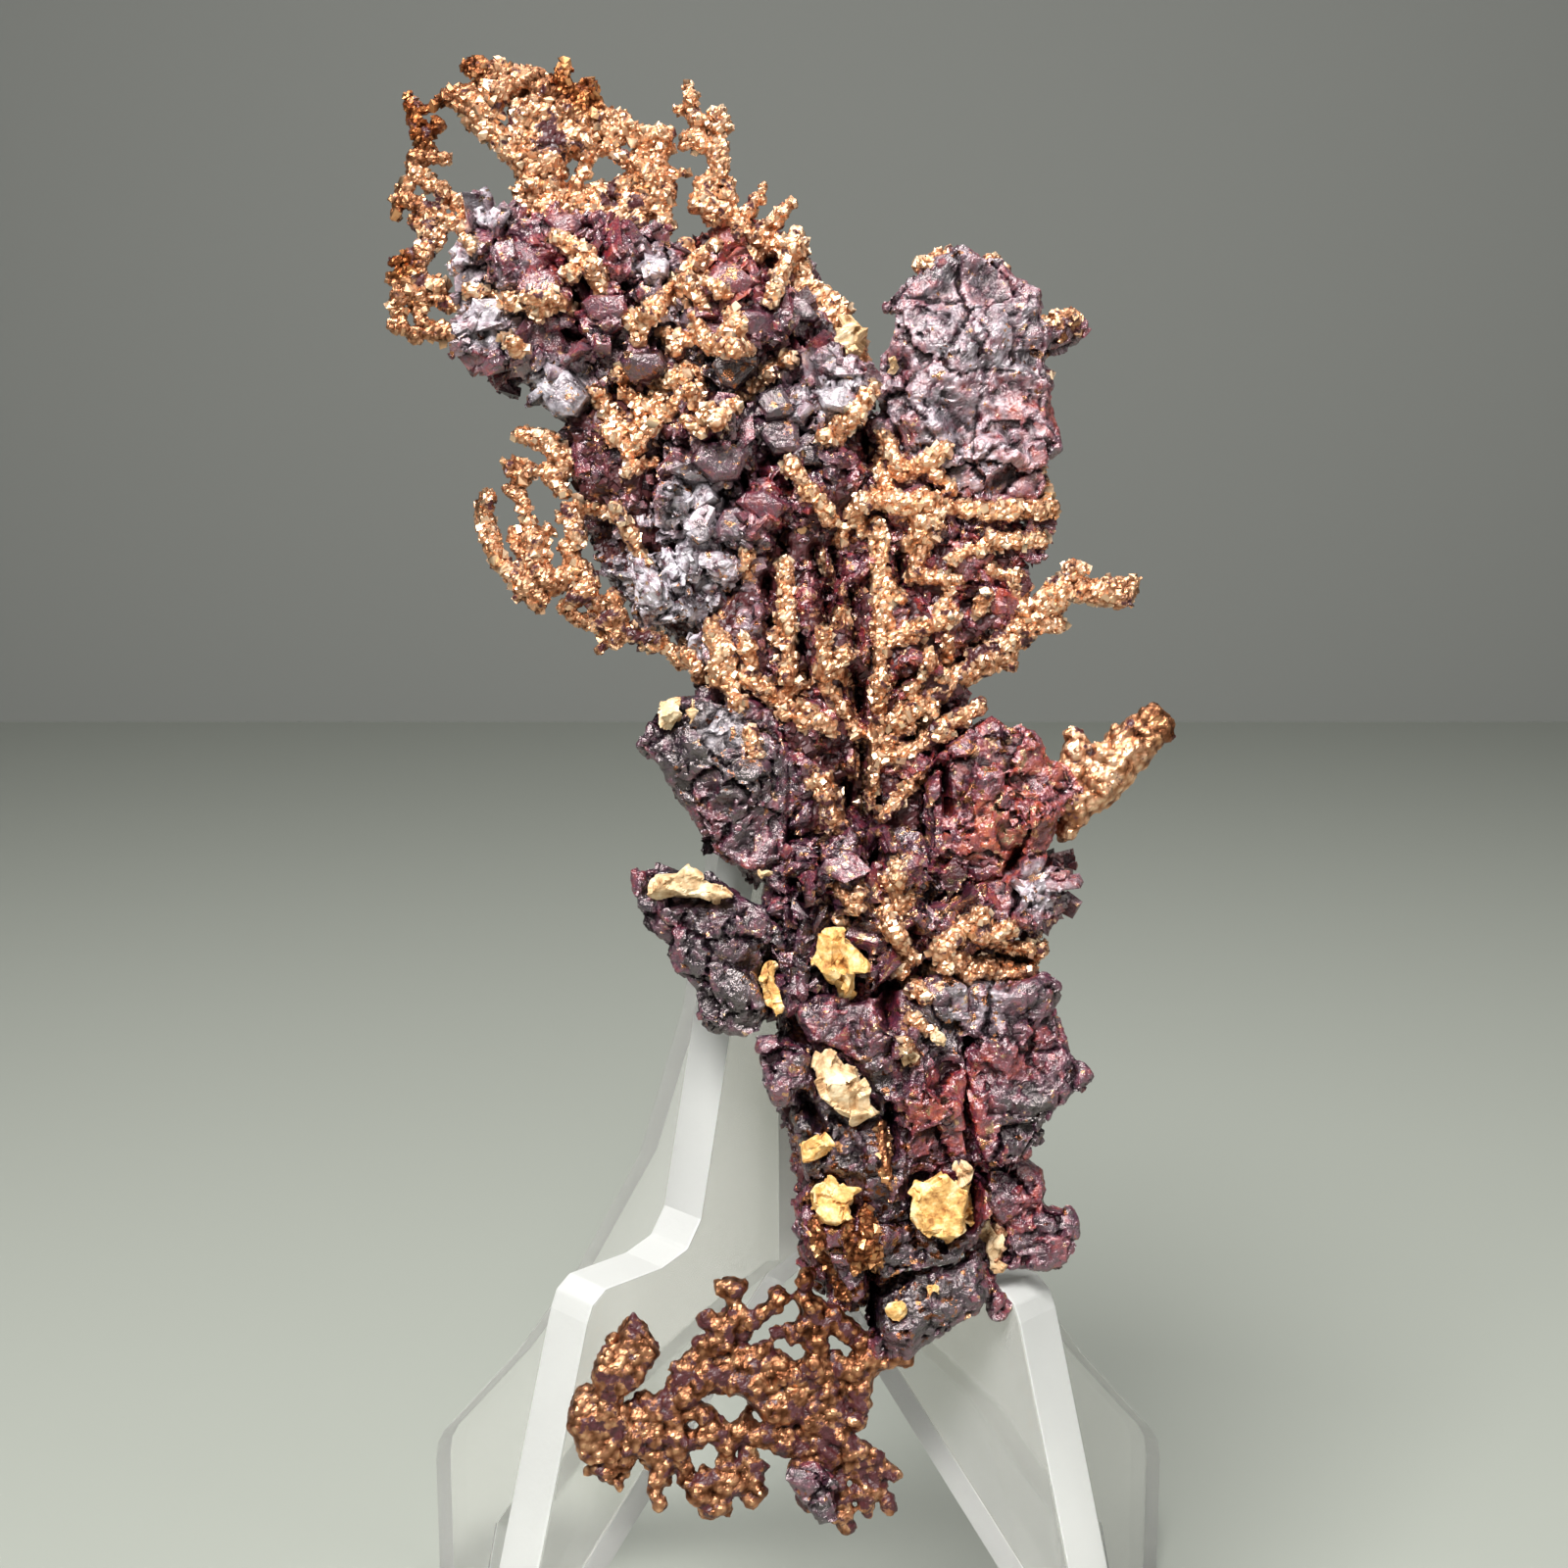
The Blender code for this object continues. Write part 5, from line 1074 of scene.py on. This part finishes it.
def plate_mesh(name, zones, surface, seed):
    """One broken plate for each small zone, lying on the surface as seen from the front."""
    rng = random.Random(seed)
    eye = board(HALF, HALF, EYE)
    bm = bmesh.new()
    for u, v, radius, _ in zones:
        if radius > LARGEST_PLATE or u > PLATED_RIGHT or v > PLATED_DOWN:
            continue
        ray = (seen(u, v) - eye).normalized()
        hit, normal = surface.ray_cast(eye, ray)[:2]
        if hit is None:
            continue
        size = radius * UNIT
        lean = Vector([rng.uniform(-PLATE_LEAN, PLATE_LEAN) for _ in range(3)])
        facing = (normal * PLATE_FOLLOWS + OUT + lean).normalized()
        part = broken_plate(size, rng)
        part.transform(Matrix.Translation(hit) @ facing.to_track_quat("Z", "Y").to_matrix().to_4x4())
        home = part.verts.layers.float_vector.new("home")
        tint = part.verts.layers.float.new("tint")
        hollow = part.verts.layers.float.new("hollow")
        shade = rng.uniform(0.3, 0.7)
        for corner in part.verts:
            corner[home] = hit
            corner[tint] = shade
            # Painted shade: a plate's colour darkens below its middle, towards the skin it lies on.
            corner[hollow] = PLATE_HOLLOW + max(0.0, -(corner.co - hit).dot(facing) / size * 2)
        piece = to_mesh(part, "plate")
        bm.from_mesh(piece)
        bpy.data.meshes.remove(piece)
    bmesh.ops.recalc_face_normals(bm, faces=bm.faces)
    return to_mesh(bm, name)


# ---------------------------------------------------------------- settings

class CopperSettings(bpy.types.PropertyGroup):
    grid: bpy.props.FloatProperty(name="Skin grid", description="Mesh spacing of the copper's skin",
                                  default=0.13 * MM, min=0.05 * MM, precision=5, unit="LENGTH")
    core_grid: bpy.props.FloatProperty(name="Core grid", description="Mesh spacing under the loose crusts",
                                       default=0.1625 * MM, min=0.05 * MM, precision=6, unit="LENGTH")
    grain: bpy.props.FloatProperty(name="Grain", description="Largest grain on the branches",
                                   default=0.26 * MM, min=0.1 * MM, precision=5, unit="LENGTH")
    twig: bpy.props.FloatProperty(name="Twig thickness", description="How stout the loose twigs are",
                                  default=1.25, min=0.5, subtype="FACTOR")
    coat: bpy.props.FloatVectorProperty(name="Coat", description="Colour of the dark coat in patches",
                                        default=linear("#42191c"), size=4, min=0, max=1, subtype="COLOR")
    seed: bpy.props.IntProperty(name="Seed", description="Seed of the grains", default=11)


class CupriteSettings(bpy.types.PropertyGroup):
    grid: bpy.props.FloatProperty(name="Skin grid", description="Mesh spacing of the crust's skin",
                                  default=0.14 * MM, min=0.05 * MM, precision=5, unit="LENGTH")
    core_grid: bpy.props.FloatProperty(name="Loose grid", description="Mesh spacing of the loose crusts",
                                       default=0.175 * MM, min=0.05 * MM, precision=6, unit="LENGTH")
    crystal: bpy.props.FloatProperty(name="Crystal", description="Largest loose crystal on the crusts",
                                     default=0.95 * MM, min=0.3 * MM, precision=5, unit="LENGTH")
    # The pale silvery colour is painted sheen.
    painted_sheen: bpy.props.FloatVectorProperty(name="Film", description="Colour of the silvery film",
                                        default=linear("#d9d2da"), size=4, min=0, max=1, subtype="COLOR")
    seed: bpy.props.IntProperty(name="Seed", description="Seed of the crystals", default=23)


class EaselSettings(bpy.types.PropertyGroup):
    bevel: bpy.props.FloatProperty(name="Bevel", description="Width of the bevel on the plates' edges",
                                   default=0.12 * MM, min=0.0, precision=5, unit="LENGTH")
    frost: bpy.props.FloatVectorProperty(name="Frost", description="Colour of the sawn edges",
                                         default=linear("#dcdcd8"), size=4, min=0, max=1, subtype="COLOR")


class StageSettings(bpy.types.PropertyGroup):
    floor: bpy.props.FloatVectorProperty(name="Floor", description="Floor colour", default=linear("#94978e"),
                                         size=4, min=0, max=1, subtype="COLOR")
    wall: bpy.props.FloatVectorProperty(name="Backdrop", description="Backdrop colour",
                                        default=linear("#868782"), size=4, min=0, max=1, subtype="COLOR")
    wall_distance: bpy.props.FloatProperty(name="Backdrop distance", description="Distance behind the object",
                                           default=0.42, min=0.1, unit="LENGTH")


# ---------------------------------------------------------------- operators

# Each limb's chains, its depth and how thick it is, in board units
LIMBS = {
    "copper_crown": (CROWN, -6, 16), "copper_thin_arm": (THIN_ARM, -6, 8),
    "copper_second_branch": (SECOND_BRANCH, -6, 12), "copper_left_arms": (LEFT_ARMS, -6, 12),
    "copper_foot": (FOOT_CHAINS, 4, 14), "copper_branch_upper_right": (UPPER_RIGHT, 6, 12),
    "copper_branch_lower_right": (LOWER_RIGHT, -6, 14), "copper_centre_lumps": (CENTRE, 18, 14)}
STOUT = {"copper_foot": 1.08, "copper_branch_lower_right": 1.22, "copper_branch_upper_right": 1.12}
SMOOTH = ["copper_foot", "copper_foot_arm", "copper_branch_lower_right"]
MASSIVE = ["cuprite_right_lobe", "cuprite_neck_crystal", "cuprite_neck_front", "cuprite_neck_plate",
           "cuprite_foot_plate", "cuprite_wing_lower", "cuprite_wing_upper", "cuprite_lower_lobe",
           "cuprite_lower_right", "cuprite_cigar"]
CRUSTED = ["copper_core_head", "copper_core_middle", "copper_right_fingers", "copper_stem"]
TWIG_NODES = ["copper_rod_cross", "copper_rod_left", "copper_rod_long", "copper_rod_right",
              "copper_rod_slant", "copper_rod_tall", "copper_squiggle", "copper_v_rods"]
NUB_DEPTH, NUB_THICKNESS = -6, 12

BRANCH_PAINT = {"dull": (DULL_ZONES, 0.12), "coat": (COAT_ZONES, 0.12)}
NUB_PAINT = {"dull": (DULL_ZONES, 0.12), "coat": (COAT_ZONES, 0.35)}
CORE_PAINT = {"dull": (DULL_ZONES, 0.8), "coat": ([], 2.0)}
TWIG_PAINT = {"dull": (DULL_ZONES, 0.0), "coat": ([], 0.0)}
CUPRITE_PAINT = {"tone": (TONE_ZONES, 0.45), "silver": (SILVER_ZONES, 0.0), "fleck": (FLECK_ZONES, 0.3),
                 "dull": (DULL_ZONES, 0.2)}

# Inputs of the growth trees. A density is a count in a square metre.
KNOBS = {"Density": 0.9e6, "Smallest": 0.16 * MM, "Largest": 0.42 * MM, "Flatness": 0.9, "Sink": 0.1}
BODY_SWELL = 0.2 * MM  # a packed copper solid is a little thinner than its branch
WORN = {"Wave Size": 1.1 * MM, "Wave Height": 0.3 * MM, "Grain Size": 0.42 * MM, "Grain Height": 0.18 * MM,
        "Roughening": 0.012 * MM}
GRAINS = {"Density": 2.6e6, "Smallest": 0.1 * MM, "Flatness": 0.9, "Sink": 0.1,
          "Darkest": 0.35, "Lightest": 1.0}
TWIG_GRAINS = {"Density": 3e6, "Smallest": 0.1 * MM, "Largest": 0.24 * MM, "Flatness": 0.9, "Sink": 0.1,
               "Darkest": 0.6, "Lightest": 1.1}
KNOLLS = {"Density": 0.05e6, "Smallest": 0.4 * MM, "Largest": 1.2 * MM, "Flatness": 0.3, "Sink": 0.1,
          "Swell": 0.16 * MM}
CHUNKS = {"Density": 0.4e6, "Smallest": 0.3 * MM, "Largest": 1.2 * MM, "Flatness": 0.34, "Sink": 0.3}
LOOSE_CHUNKS = {"Density": 1.7e6, "Smallest": 0.25 * MM, "Largest": 0.95 * MM, "Flatness": 0.6, "Sink": -0.1}
MASSIVE_SKIN = {"Plate Size": 3.0 * MM, "Plate Step": 0.16 * MM, "Plate Tilt": 0.3, "Crack Depth": 0.1 * MM,
                "Facet Size": 1.1 * MM, "Facet Step": 0.03 * MM, "Facet Tilt": 0.3, "Fine Size": 0.36 * MM,
                "Fine Height": 0.2 * MM}
BROAD = {"Smallest": 0.3 * MM, "Flatness": 0.34, "Sink": 0.28}
SMALL = {"Smallest": 0.1 * MM, "Largest": 0.3 * MM, "Flatness": 0.7, "Sink": 0.25}
ROCK_GRID = 0.1 * MM
BROAD_SIDE = 0.9  # a face of the easel this square to its sheet is polished, and any other is sawn


def branch_mesh(node, seed):
    """A copper node's body: its chains of grains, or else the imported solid."""
    if node not in LIMBS:
        return solid_mesh(node)
    chains, depth, thickness = LIMBS[node]
    stout = STOUT.get(node, 1.0)
    chains = [[(u, v, r * stout) for u, v, r in chain] for chain in chains]
    return limb_mesh(node + "_body", chains, depth, thickness, seed)


class SPECIMEN_OT_copper(bpy.types.Operator):
    """Grow the copper branches, cores and foot"""
    bl_idname = "specimen.copper"
    bl_label = "Copper"

    def execute(self, context):
        settings = context.scene.specimen_copper
        material = native_copper(settings)
        knobs = crust_tree("copper_knobs", True)
        skin = copper_tree()
        sharp = crystal_tree()
        grains = dict(GRAINS, Largest=settings.grain)
        nodes = nodes_with("copper_")
        for number, node in enumerate(nodes):
            if node in TWIG_NODES:
                continue
            seed = settings.seed + number
            knob_values = dict(KNOBS, Seed=seed, Swell=0.0 if node in LIMBS else BODY_SWELL)
            steps = [(knobs, knob_values), (skin, WORN if node in SMOOTH else {})]
            grid = settings.core_grid if node in CRUSTED else settings.grid
            smoothing = 3 if node in SMOOTH else 1
            item = grown(node + "_skin", branch_mesh(node, seed), steps, grid, smoothing, material)
            if node not in SMOOTH:
                strew(item, sharp, material, dict(grains, Seed=seed))
            paint(item, **(CORE_PAINT if node in CRUSTED else BRANCH_PAINT))
            keep(item, "native_copper", node)
        mesh = limb_mesh("lobe_nubs_body", LOBE_NUBS, NUB_DEPTH, NUB_THICKNESS, settings.seed)
        steps = [(knobs, dict(KNOBS, Seed=settings.seed)), (skin, {})]
        item = grown("lobe_nubs_skin", mesh, steps, settings.grid, 1, material)
        strew(item, sharp, material, dict(grains, Seed=settings.seed))
        paint(item, **NUB_PAINT)
        keep(item, "native_copper")
        return {"FINISHED"}


class SPECIMEN_OT_cuprite(bpy.types.Operator):
    """Grow the cuprite crusts"""
    bl_idname = "specimen.cuprite"
    bl_label = "Cuprite"

    def execute(self, context):
        settings = context.scene.specimen_cuprite
        material = cuprite(settings)
        chunks = crust_tree("crust_chunks", True)
        loose = crust_tree("loose_chunks", False)
        skin = cuprite_tree()
        sharp = crystal_tree()
        broad = dict(BROAD, Largest=settings.crystal)
        crusts = [(node, node + "_skin", settings.seed + number)
                  for number, node in enumerate(nodes_with("cuprite_"))]
        cores = [(node, node + "_crust_skin", settings.seed + number) for number, node in enumerate(CRUSTED)]
        for node, name, seed in crusts + cores:
            if node in MASSIVE:
                steps = [(chunks, dict(KNOLLS, Seed=seed)), (skin, MASSIVE_SKIN)]
                sorts = [dict(SMALL, Seed=seed, Density=0.3e6)]
            elif node in CRUSTED:
                steps = [(loose, dict(LOOSE_CHUNKS, Seed=seed)), (skin, {})]
                sorts = [dict(SMALL, Seed=seed, Density=1.5e6)]
            else:
                steps = [(chunks, dict(CHUNKS, Seed=seed)), (skin, {})]
                sorts = [dict(broad, Seed=seed, Density=0.5e6), dict(SMALL, Seed=seed, Density=1.2e6)]
            grid = settings.core_grid if node in CRUSTED else settings.grid
            item = grown(name, solid_mesh(node), steps, grid, 0, material)
            strew(item, sharp, material, *sorts)
            paint(item, **CUPRITE_PAINT)
            keep(item, "cuprite", *([] if node in CRUSTED else [node]))
        mesh = plate_mesh("plates_body", TONE_ZONES, skins_surface(), settings.seed)
        mesh.materials.append(material)
        item = link("cuprite_plates_skin", mesh)
        paint(item, **CUPRITE_PAINT)
        keep(item, "cuprite")
        return {"FINISHED"}


class SPECIMEN_OT_twigs(bpy.types.Operator):
    """Lay the loose copper twigs over the front"""
    bl_idname = "specimen.twigs"
    bl_label = "Copper twigs"

    def execute(self, context):
        settings = context.scene.specimen_copper
        mesh = twig_mesh("copper_twigs_body", TWIGS, settings.twig, skins_surface(), settings.seed)
        material = bpy.data.materials["native_copper_granular"]
        item = grown("copper_twigs", mesh, [(copper_tree(), {})], settings.grid, 1, material)
        strew(item, crystal_tree(), material, TWIG_GRAINS)
        paint(item, **TWIG_PAINT)
        keep(item, "native_copper", *TWIG_NODES)
        return {"FINISHED"}


class SPECIMEN_OT_grains(bpy.types.Operator):
    """Shape the grains of host rock"""
    bl_idname = "specimen.grains"
    bl_label = "Grains"

    def execute(self, context):
        slots = {row["node"]: row["material_slot"] for row in frame["record"]["subparts"]}
        calcite = host_rock("calcite_cream", "#ecd8b4", "#d2b085", "#93693f")
        limonite = host_rock("limonite_ochre", "#f8e0ae", "#dcaa62", "#8a5524")
        tree = rock_tree()
        for node in nodes_with("grain_"):
            material = calcite if slots[node] == "calcite_grain" else limonite
            item = grown(node + "_rock", solid_mesh(node), [(tree, {})], ROCK_GRID, 1, material)
            keep(item, slots[node], node)
        return {"FINISHED"}


class SPECIMEN_OT_easel(bpy.types.Operator):
    """Finish the easel's clear plates and their frosted edges"""
    bl_idname = "specimen.easel"
    bl_label = "Easel"

    def execute(self, context):
        settings = context.scene.specimen_easel
        clear = acrylic_face()
        edge = acrylic_edge(settings)
        for node, side in (("easel_plate_left", -1), ("easel_plate_right", 1)):
            bm = welded_bmesh(node)
            across = Vector((1, side, 0)).normalized()
            bmesh.ops.dissolve_limit(bm, angle_limit=math.radians(1), verts=bm.verts, edges=bm.edges)
            for face in bm.faces:
                face.material_index = 0 if abs(face.normal.dot(across)) > BROAD_SIDE else 1
            item = link(node + "_sheet", to_mesh(bm, node + "_sheet"))
            item.data.materials.append(clear)
            item.data.materials.append(edge)
            bevel = item.modifiers.new("Bevel", "BEVEL")
            bevel.width = settings.bevel
            bevel.segments = 2
            bevel.limit_method = "ANGLE"
            bake(item)
            keep(item, "clear_acrylic", node)
        return {"FINISHED"}


# ---------------------------------------------------------------- stage

# The three soft lights: where each hangs, its size and its power in watts
LIGHTS = {"key": ((-0.07, -0.20, 0.29), (0.12, 0.10), 2.15),
          "fill": ((0.30, -0.28, 0.16), (0.20, 0.30), 0.42),
          "top": ((0.05, 0.06, 0.40), (0.24, 0.24), 1.2)}
SKY, SKY_STRENGTH = "#c9ccd0", 0.25
FLOOR_HALF = 1.5
WALL_MIDDLE = 0.7
SENSOR_MM = 36.0


def board_surface(name, material, place):
    """A large square sheet for the stage."""
    bm = bmesh.new()
    bmesh.ops.create_grid(bm, x_segments=1, y_segments=1, size=FLOOR_HALF, matrix=place)
    mesh = to_mesh(bm, name)
    mesh.materials.append(material)
    link(name, mesh)


def area_light(name, place, size, power):
    """A soft light that looks at the middle of the board."""
    data = bpy.data.lights.new(name, "AREA")
    data.shape = "RECTANGLE"
    data.size, data.size_y = size
    data.energy = power
    item = link(name, data)
    item.location = place
    item.rotation_euler = (board(HALF, HALF) - Vector(place)).to_track_quat("-Z", "Y").to_euler()


def sky(scene):
    """Even pale light from all round."""
    world = bpy.data.worlds.new("studio")
    world.use_nodes = True
    background = world.node_tree.nodes["Background"]
    background.inputs["Color"].default_value = linear(SKY)
    background.inputs["Strength"].default_value = SKY_STRENGTH
    scene.world = world


def camera(scene):
    """The camera stands at the eye and looks square at the board."""
    data = bpy.data.cameras.new("camera")
    data.sensor_width = SENSOR_MM
    data.lens = SENSOR_MM * EYE / (2 * HALF)
    data.clip_start = 0.005
    data.clip_end = 10.0
    item = link("camera", data)
    item.location = board(HALF, HALF, EYE)
    item.rotation_euler = (math.radians(90) - LEAN, 0.0, 0.0)
    scene.camera = item


class SPECIMEN_OT_stage(bpy.types.Operator):
    """Lay the floor and backdrop, and set the lights and the camera"""
    bl_idname = "specimen.stage"
    bl_label = "Stage"

    def execute(self, context):
        settings = context.scene.specimen_stage
        upright = Matrix.Rotation(math.radians(90), 4, "X")
        wall = Matrix.Translation((0, settings.wall_distance, WALL_MIDDLE)) @ upright
        board_surface("floor", plain_surface("painted_board", settings.floor, 0.55), Matrix.Identity(4))
        board_surface("backdrop", plain_surface("backdrop_paper", settings.wall, 0.9), wall)
        for name, light in LIGHTS.items():
            area_light(name, *light)
        sky(context.scene)
        camera(context.scene)
        context.scene.view_settings.view_transform = "Standard"
        return {"FINISHED"}


class SPECIMEN_PT_panel(bpy.types.Panel):
    """The operators, in order"""
    bl_label = "Specimen"
    bl_idname = "SPECIMEN_PT_panel"
    bl_space_type = "VIEW_3D"
    bl_region_type = "UI"
    bl_category = "Specimen"

    def draw(self, context):
        for operator in OPERATORS:
            self.layout.operator(operator.bl_idname)


SETTINGS = {"specimen_copper": CopperSettings, "specimen_cuprite": CupriteSettings,
            "specimen_easel": EaselSettings, "specimen_stage": StageSettings}
OPERATORS = (SPECIMEN_OT_copper, SPECIMEN_OT_cuprite, SPECIMEN_OT_twigs, SPECIMEN_OT_grains,
             SPECIMEN_OT_easel, SPECIMEN_OT_stage)


def register():
    """Register the classes, and give each scene its settings."""
    for name, group in SETTINGS.items():
        bpy.utils.register_class(group)
        setattr(bpy.types.Scene, name, bpy.props.PointerProperty(type=group))
    for operator in OPERATORS:
        bpy.utils.register_class(operator)
    bpy.utils.register_class(SPECIMEN_PT_panel)


def unregister():
    """Take back what register gave."""
    bpy.utils.unregister_class(SPECIMEN_PT_panel)
    for operator in reversed(OPERATORS):
        bpy.utils.unregister_class(operator)
    for name, group in SETTINGS.items():
        delattr(bpy.types.Scene, name)
        bpy.utils.unregister_class(group)


def main():
    """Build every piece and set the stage."""
    register()
    bpy.ops.specimen.copper()
    bpy.ops.specimen.cuprite()
    bpy.ops.specimen.twigs()
    bpy.ops.specimen.grains()
    bpy.ops.specimen.easel()
    bpy.ops.specimen.stage()


if __name__ == "__main__":
    main()
